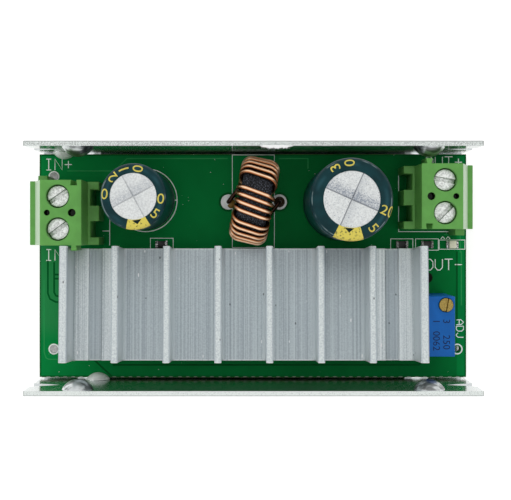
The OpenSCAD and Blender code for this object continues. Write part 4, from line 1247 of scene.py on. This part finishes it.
class DressTerminals(bpy.types.Operator):
    """Gives the terminal blocks soft moulded edges and the screws their stamped heads"""

    bl_idname = "module.dress_terminals"
    bl_label = "Terminals"

    def execute(self, context):
        look = looks().terminals
        plated = metal("screw_plating", look.plating, rough=0.36, grain=0.035, spread=0.38, scale=3.6)
        inner = metal("cage_plating", look.plating)
        tin = metal("bar_tin", looks().small.tin)
        for end in ("input", "output"):
            block = softened(end + "_block", look.edge)
            stand_for(end + "_block", end + "_block_moulding", block, terminal_finish(end))
            finish_node(end + "_block_bars", tin)
        for pole in POLES:
            head = softened(pole + "_screw", look.screw_edge)
            stand_for(pole + "_screw", pole + "_screw_head", head, plated)
            finish_node(pole + "_cage", inner)
        return {"FINISHED"}


class DressCapacitors(bpy.types.Operator):
    """Makes the capacitors' sleeves, vented tops and plain numbers"""

    bl_idname = "module.dress_capacitors"
    bl_label = "Capacitors"

    def execute(self, context):
        dress_capacitor("input", mark=0.45)
        dress_capacitor("output", mark=0.9)
        return {"FINISHED"}


class DressInductor(bpy.types.Operator):
    """Winds the inductor with round wire and coats its core"""

    bl_idname = "module.dress_inductor"
    bl_label = "Inductor"

    def execute(self, context):
        wire = swept([coil_route()], looks().inductor.wire / 2, 4)
        mark_crowns(wire)
        stand_for("inductor_winding", "inductor_wire", wire, copper_finish(), crease=70)
        stand_for("inductor_core", "inductor_ring", core_ring(), core_finish())
        return {"FINISHED"}


class DressTrimmer(bpy.types.Operator):
    """Gives the trimmer soft edges, a brass screw and plain numbers"""

    bl_idname = "module.dress_trimmer"
    bl_label = "Trimmer"

    def execute(self, context):
        look = looks().small
        blue = plastic("trimmer_moulding", look.trimmer, rough=0.4)
        stand_for("trimmer_housing", "trimmer_case", softened("trimmer_housing", look.edge), blue)
        brass = metal("turned_brass", look.brass, rough=0.26, grain=0.012, spread=0.3, scale=4)
        adjuster = softened("trimmer_screw", look.screw_edge)
        bmesh.ops.rotate(adjuster, cent=centre("trimmer_screw"), verts=adjuster.verts,
                         matrix=Matrix.Rotation(look.trimmer_slot, 3, "Z"))
        stand_for("trimmer_screw", "trimmer_adjuster", adjuster, brass)
        finish_node("trimmer_pins", metal("trimmer_pin_tin", look.tin))
        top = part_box("trimmer_housing")[1][2]
        numbers = bmesh.new()
        for text, x, y in TRIMMER_NUMBERS:
            number = lettering(text, look.letter, look.ink_rise)
            place = Matrix.Translation((x * MM, y * MM, top)) @ Matrix.Rotation(-math.pi / 2, 4, "Z")
            bmesh.ops.transform(number, matrix=place, verts=number.verts)
            join(numbers, number)
        ink = plastic("trimmer_ink", look.trimmer_ink, rough=0.5, grain=0.003)
        add_piece("trimmer_numbers", numbers, ink, ROOT, slot_of("trimmer_housing"))
        return {"FINISHED"}


class DressSmallParts(bpy.types.Operator):
    """Finishes the chip parts and the status lamp"""

    bl_idname = "module.dress_small_parts"
    bl_label = "Small parts"

    def execute(self, context):
        look = looks().small
        # Each part's body colour and the share of its ends with painted glints
        chips = {"lamp_resistor": (look.chip, 0.35), "feedback_resistor": (look.chip, 0.4),
                 "bypass_capacitor": (look.chip_dark, 0.9), "status_lamp": (look.lamp, 0.9)}
        for node, (colour, bright) in chips.items():
            stand_for(node, node + "_chip", softened(node, look.chip_edge), chip_finish(node, colour, bright))
        return {"FINISHED"}


class SetStage(bpy.types.Operator):
    """Sets the floor, the soft light and the camera"""

    bl_idname = "module.set_stage"
    bl_label = "Stage"

    def execute(self, context):
        look = looks().stage
        scene = context.scene
        scene.view_settings.view_transform = "Standard"
        self.floor(look, scene)
        self.light(look, scene)
        camera = bpy.data.cameras.new("camera")
        camera.lens = look.lens
        camera.sensor_width = 36
        camera.shift_x = look.shift_x
        camera.shift_y = look.shift_y
        camera.clip_start = 1 * MM
        eye = bpy.data.objects.new("camera", camera)
        eye.location = (look.camera_x, look.camera_y, look.camera_z)
        scene.collection.objects.link(eye)
        scene.camera = eye
        return {"FINISHED"}

    def seen(self, tree):
        """1 for the camera's own rays and those that a surface mirrors or passes on, 0 for light."""
        path = Wire(tree).node("ShaderNodeLightPath", {}, {}).socket.node
        kinds = ("Is Camera Ray", "Is Glossy Ray", "Is Transmission Ray")
        eye, mirrored, passed = (Wire(tree, path.outputs[kind]) for kind in kinds)
        return eye.most(mirrored).most(passed)

    def floor(self, look, scene):
        """A pale floor that the camera sees as white where nothing shades it."""
        mesh = bmesh.new()
        bmesh.ops.create_grid(mesh, x_segments=1, y_segments=1, size=2)
        bmesh.ops.translate(mesh, vec=(0, 0, -0.05 * MM), verts=mesh.verts)
        data = bpy.data.meshes.new("floor")
        mesh.to_mesh(data)
        mesh.free()
        finish = Finish("pale_floor")
        glow = self.seen(finish.material.node_tree).mix((0, 0, 0), (1, 1, 1))
        finish.set({"Base Color": look.floor, "Roughness": 0.9, "Emission Color": glow,
                    "Emission Strength": 0.42})
        data.materials.append(finish.material)
        floor = bpy.data.objects.new("floor", data)
        scene.collection.objects.link(floor)

    def light(self, look, scene):
        """White surround for the camera and for reflections, soft light from all round, two large lamps."""
        world = bpy.data.worlds.new("surround")
        world.use_nodes = True
        scene.world = world
        tree = world.node_tree
        background = tree.nodes["Background"]
        background.inputs["Color"].default_value = (1, 1, 1, 1)
        strength = look.sky + (1 - look.sky) * self.seen(tree)
        tree.links.new(strength.socket, background.inputs["Strength"])
        # Power, size and place of each lamp, in metres
        lamps = {"key": (look.key, 0.5, (-0.06, 0.1, 0.5)), "side": (look.side, 0.3, (-0.35, -0.12, 0.16))}
        for name, (power, size, place) in lamps.items():
            lamp = bpy.data.lights.new(name, "AREA")
            lamp.energy = power
            lamp.size = size
            holder = bpy.data.objects.new(name, lamp)
            holder.location = place
            holder.rotation_euler = (-Vector(place)).to_track_quat("-Z", "Y").to_euler()
            holder.visible_glossy = False
            scene.collection.objects.link(holder)


OPERATORS = (DressTray, DressBoard, DressHeatSink, DressPowerPackages, DressTerminals, DressCapacitors,
             DressInductor, DressTrimmer, DressSmallParts, SetStage)
GROUPS = (TrayLooks, BoardLooks, SinkLooks, TerminalLooks, CapacitorLooks, InductorLooks, SmallLooks,
          StageLooks, ModuleLooks)


class ModulePanel(bpy.types.Panel):
    """Lists the module's pieces and their looks"""

    bl_idname = "VIEW3D_PT_module_looks"
    bl_label = "Boost converter module"
    bl_space_type = "VIEW_3D"
    bl_region_type = "UI"
    bl_category = "Module"

    def draw(self, context):
        column = self.layout.column()
        for operator in OPERATORS:
            column.operator(operator.bl_idname)
        for name in ModuleLooks.__annotations__:
            group = getattr(looks(), name)
            part = self.layout.box()
            for key in group.__annotations__:
                part.prop(group, key)


def register():
    """Makes the groups, operators and panel known."""
    for kind in (*GROUPS, *OPERATORS, ModulePanel):
        bpy.utils.register_class(kind)
    bpy.types.Scene.module_looks = PointerProperty(type=ModuleLooks)


def unregister():
    """Takes them away again."""
    del bpy.types.Scene.module_looks
    for kind in (ModulePanel, *reversed(OPERATORS), *reversed(GROUPS)):
        bpy.utils.unregister_class(kind)


def main():
    """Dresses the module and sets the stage."""
    register()
    for operator in OPERATORS:
        group, name = operator.bl_idname.split(".")
        getattr(getattr(bpy.ops, group), name)()


if __name__ == "__main__":
    main()
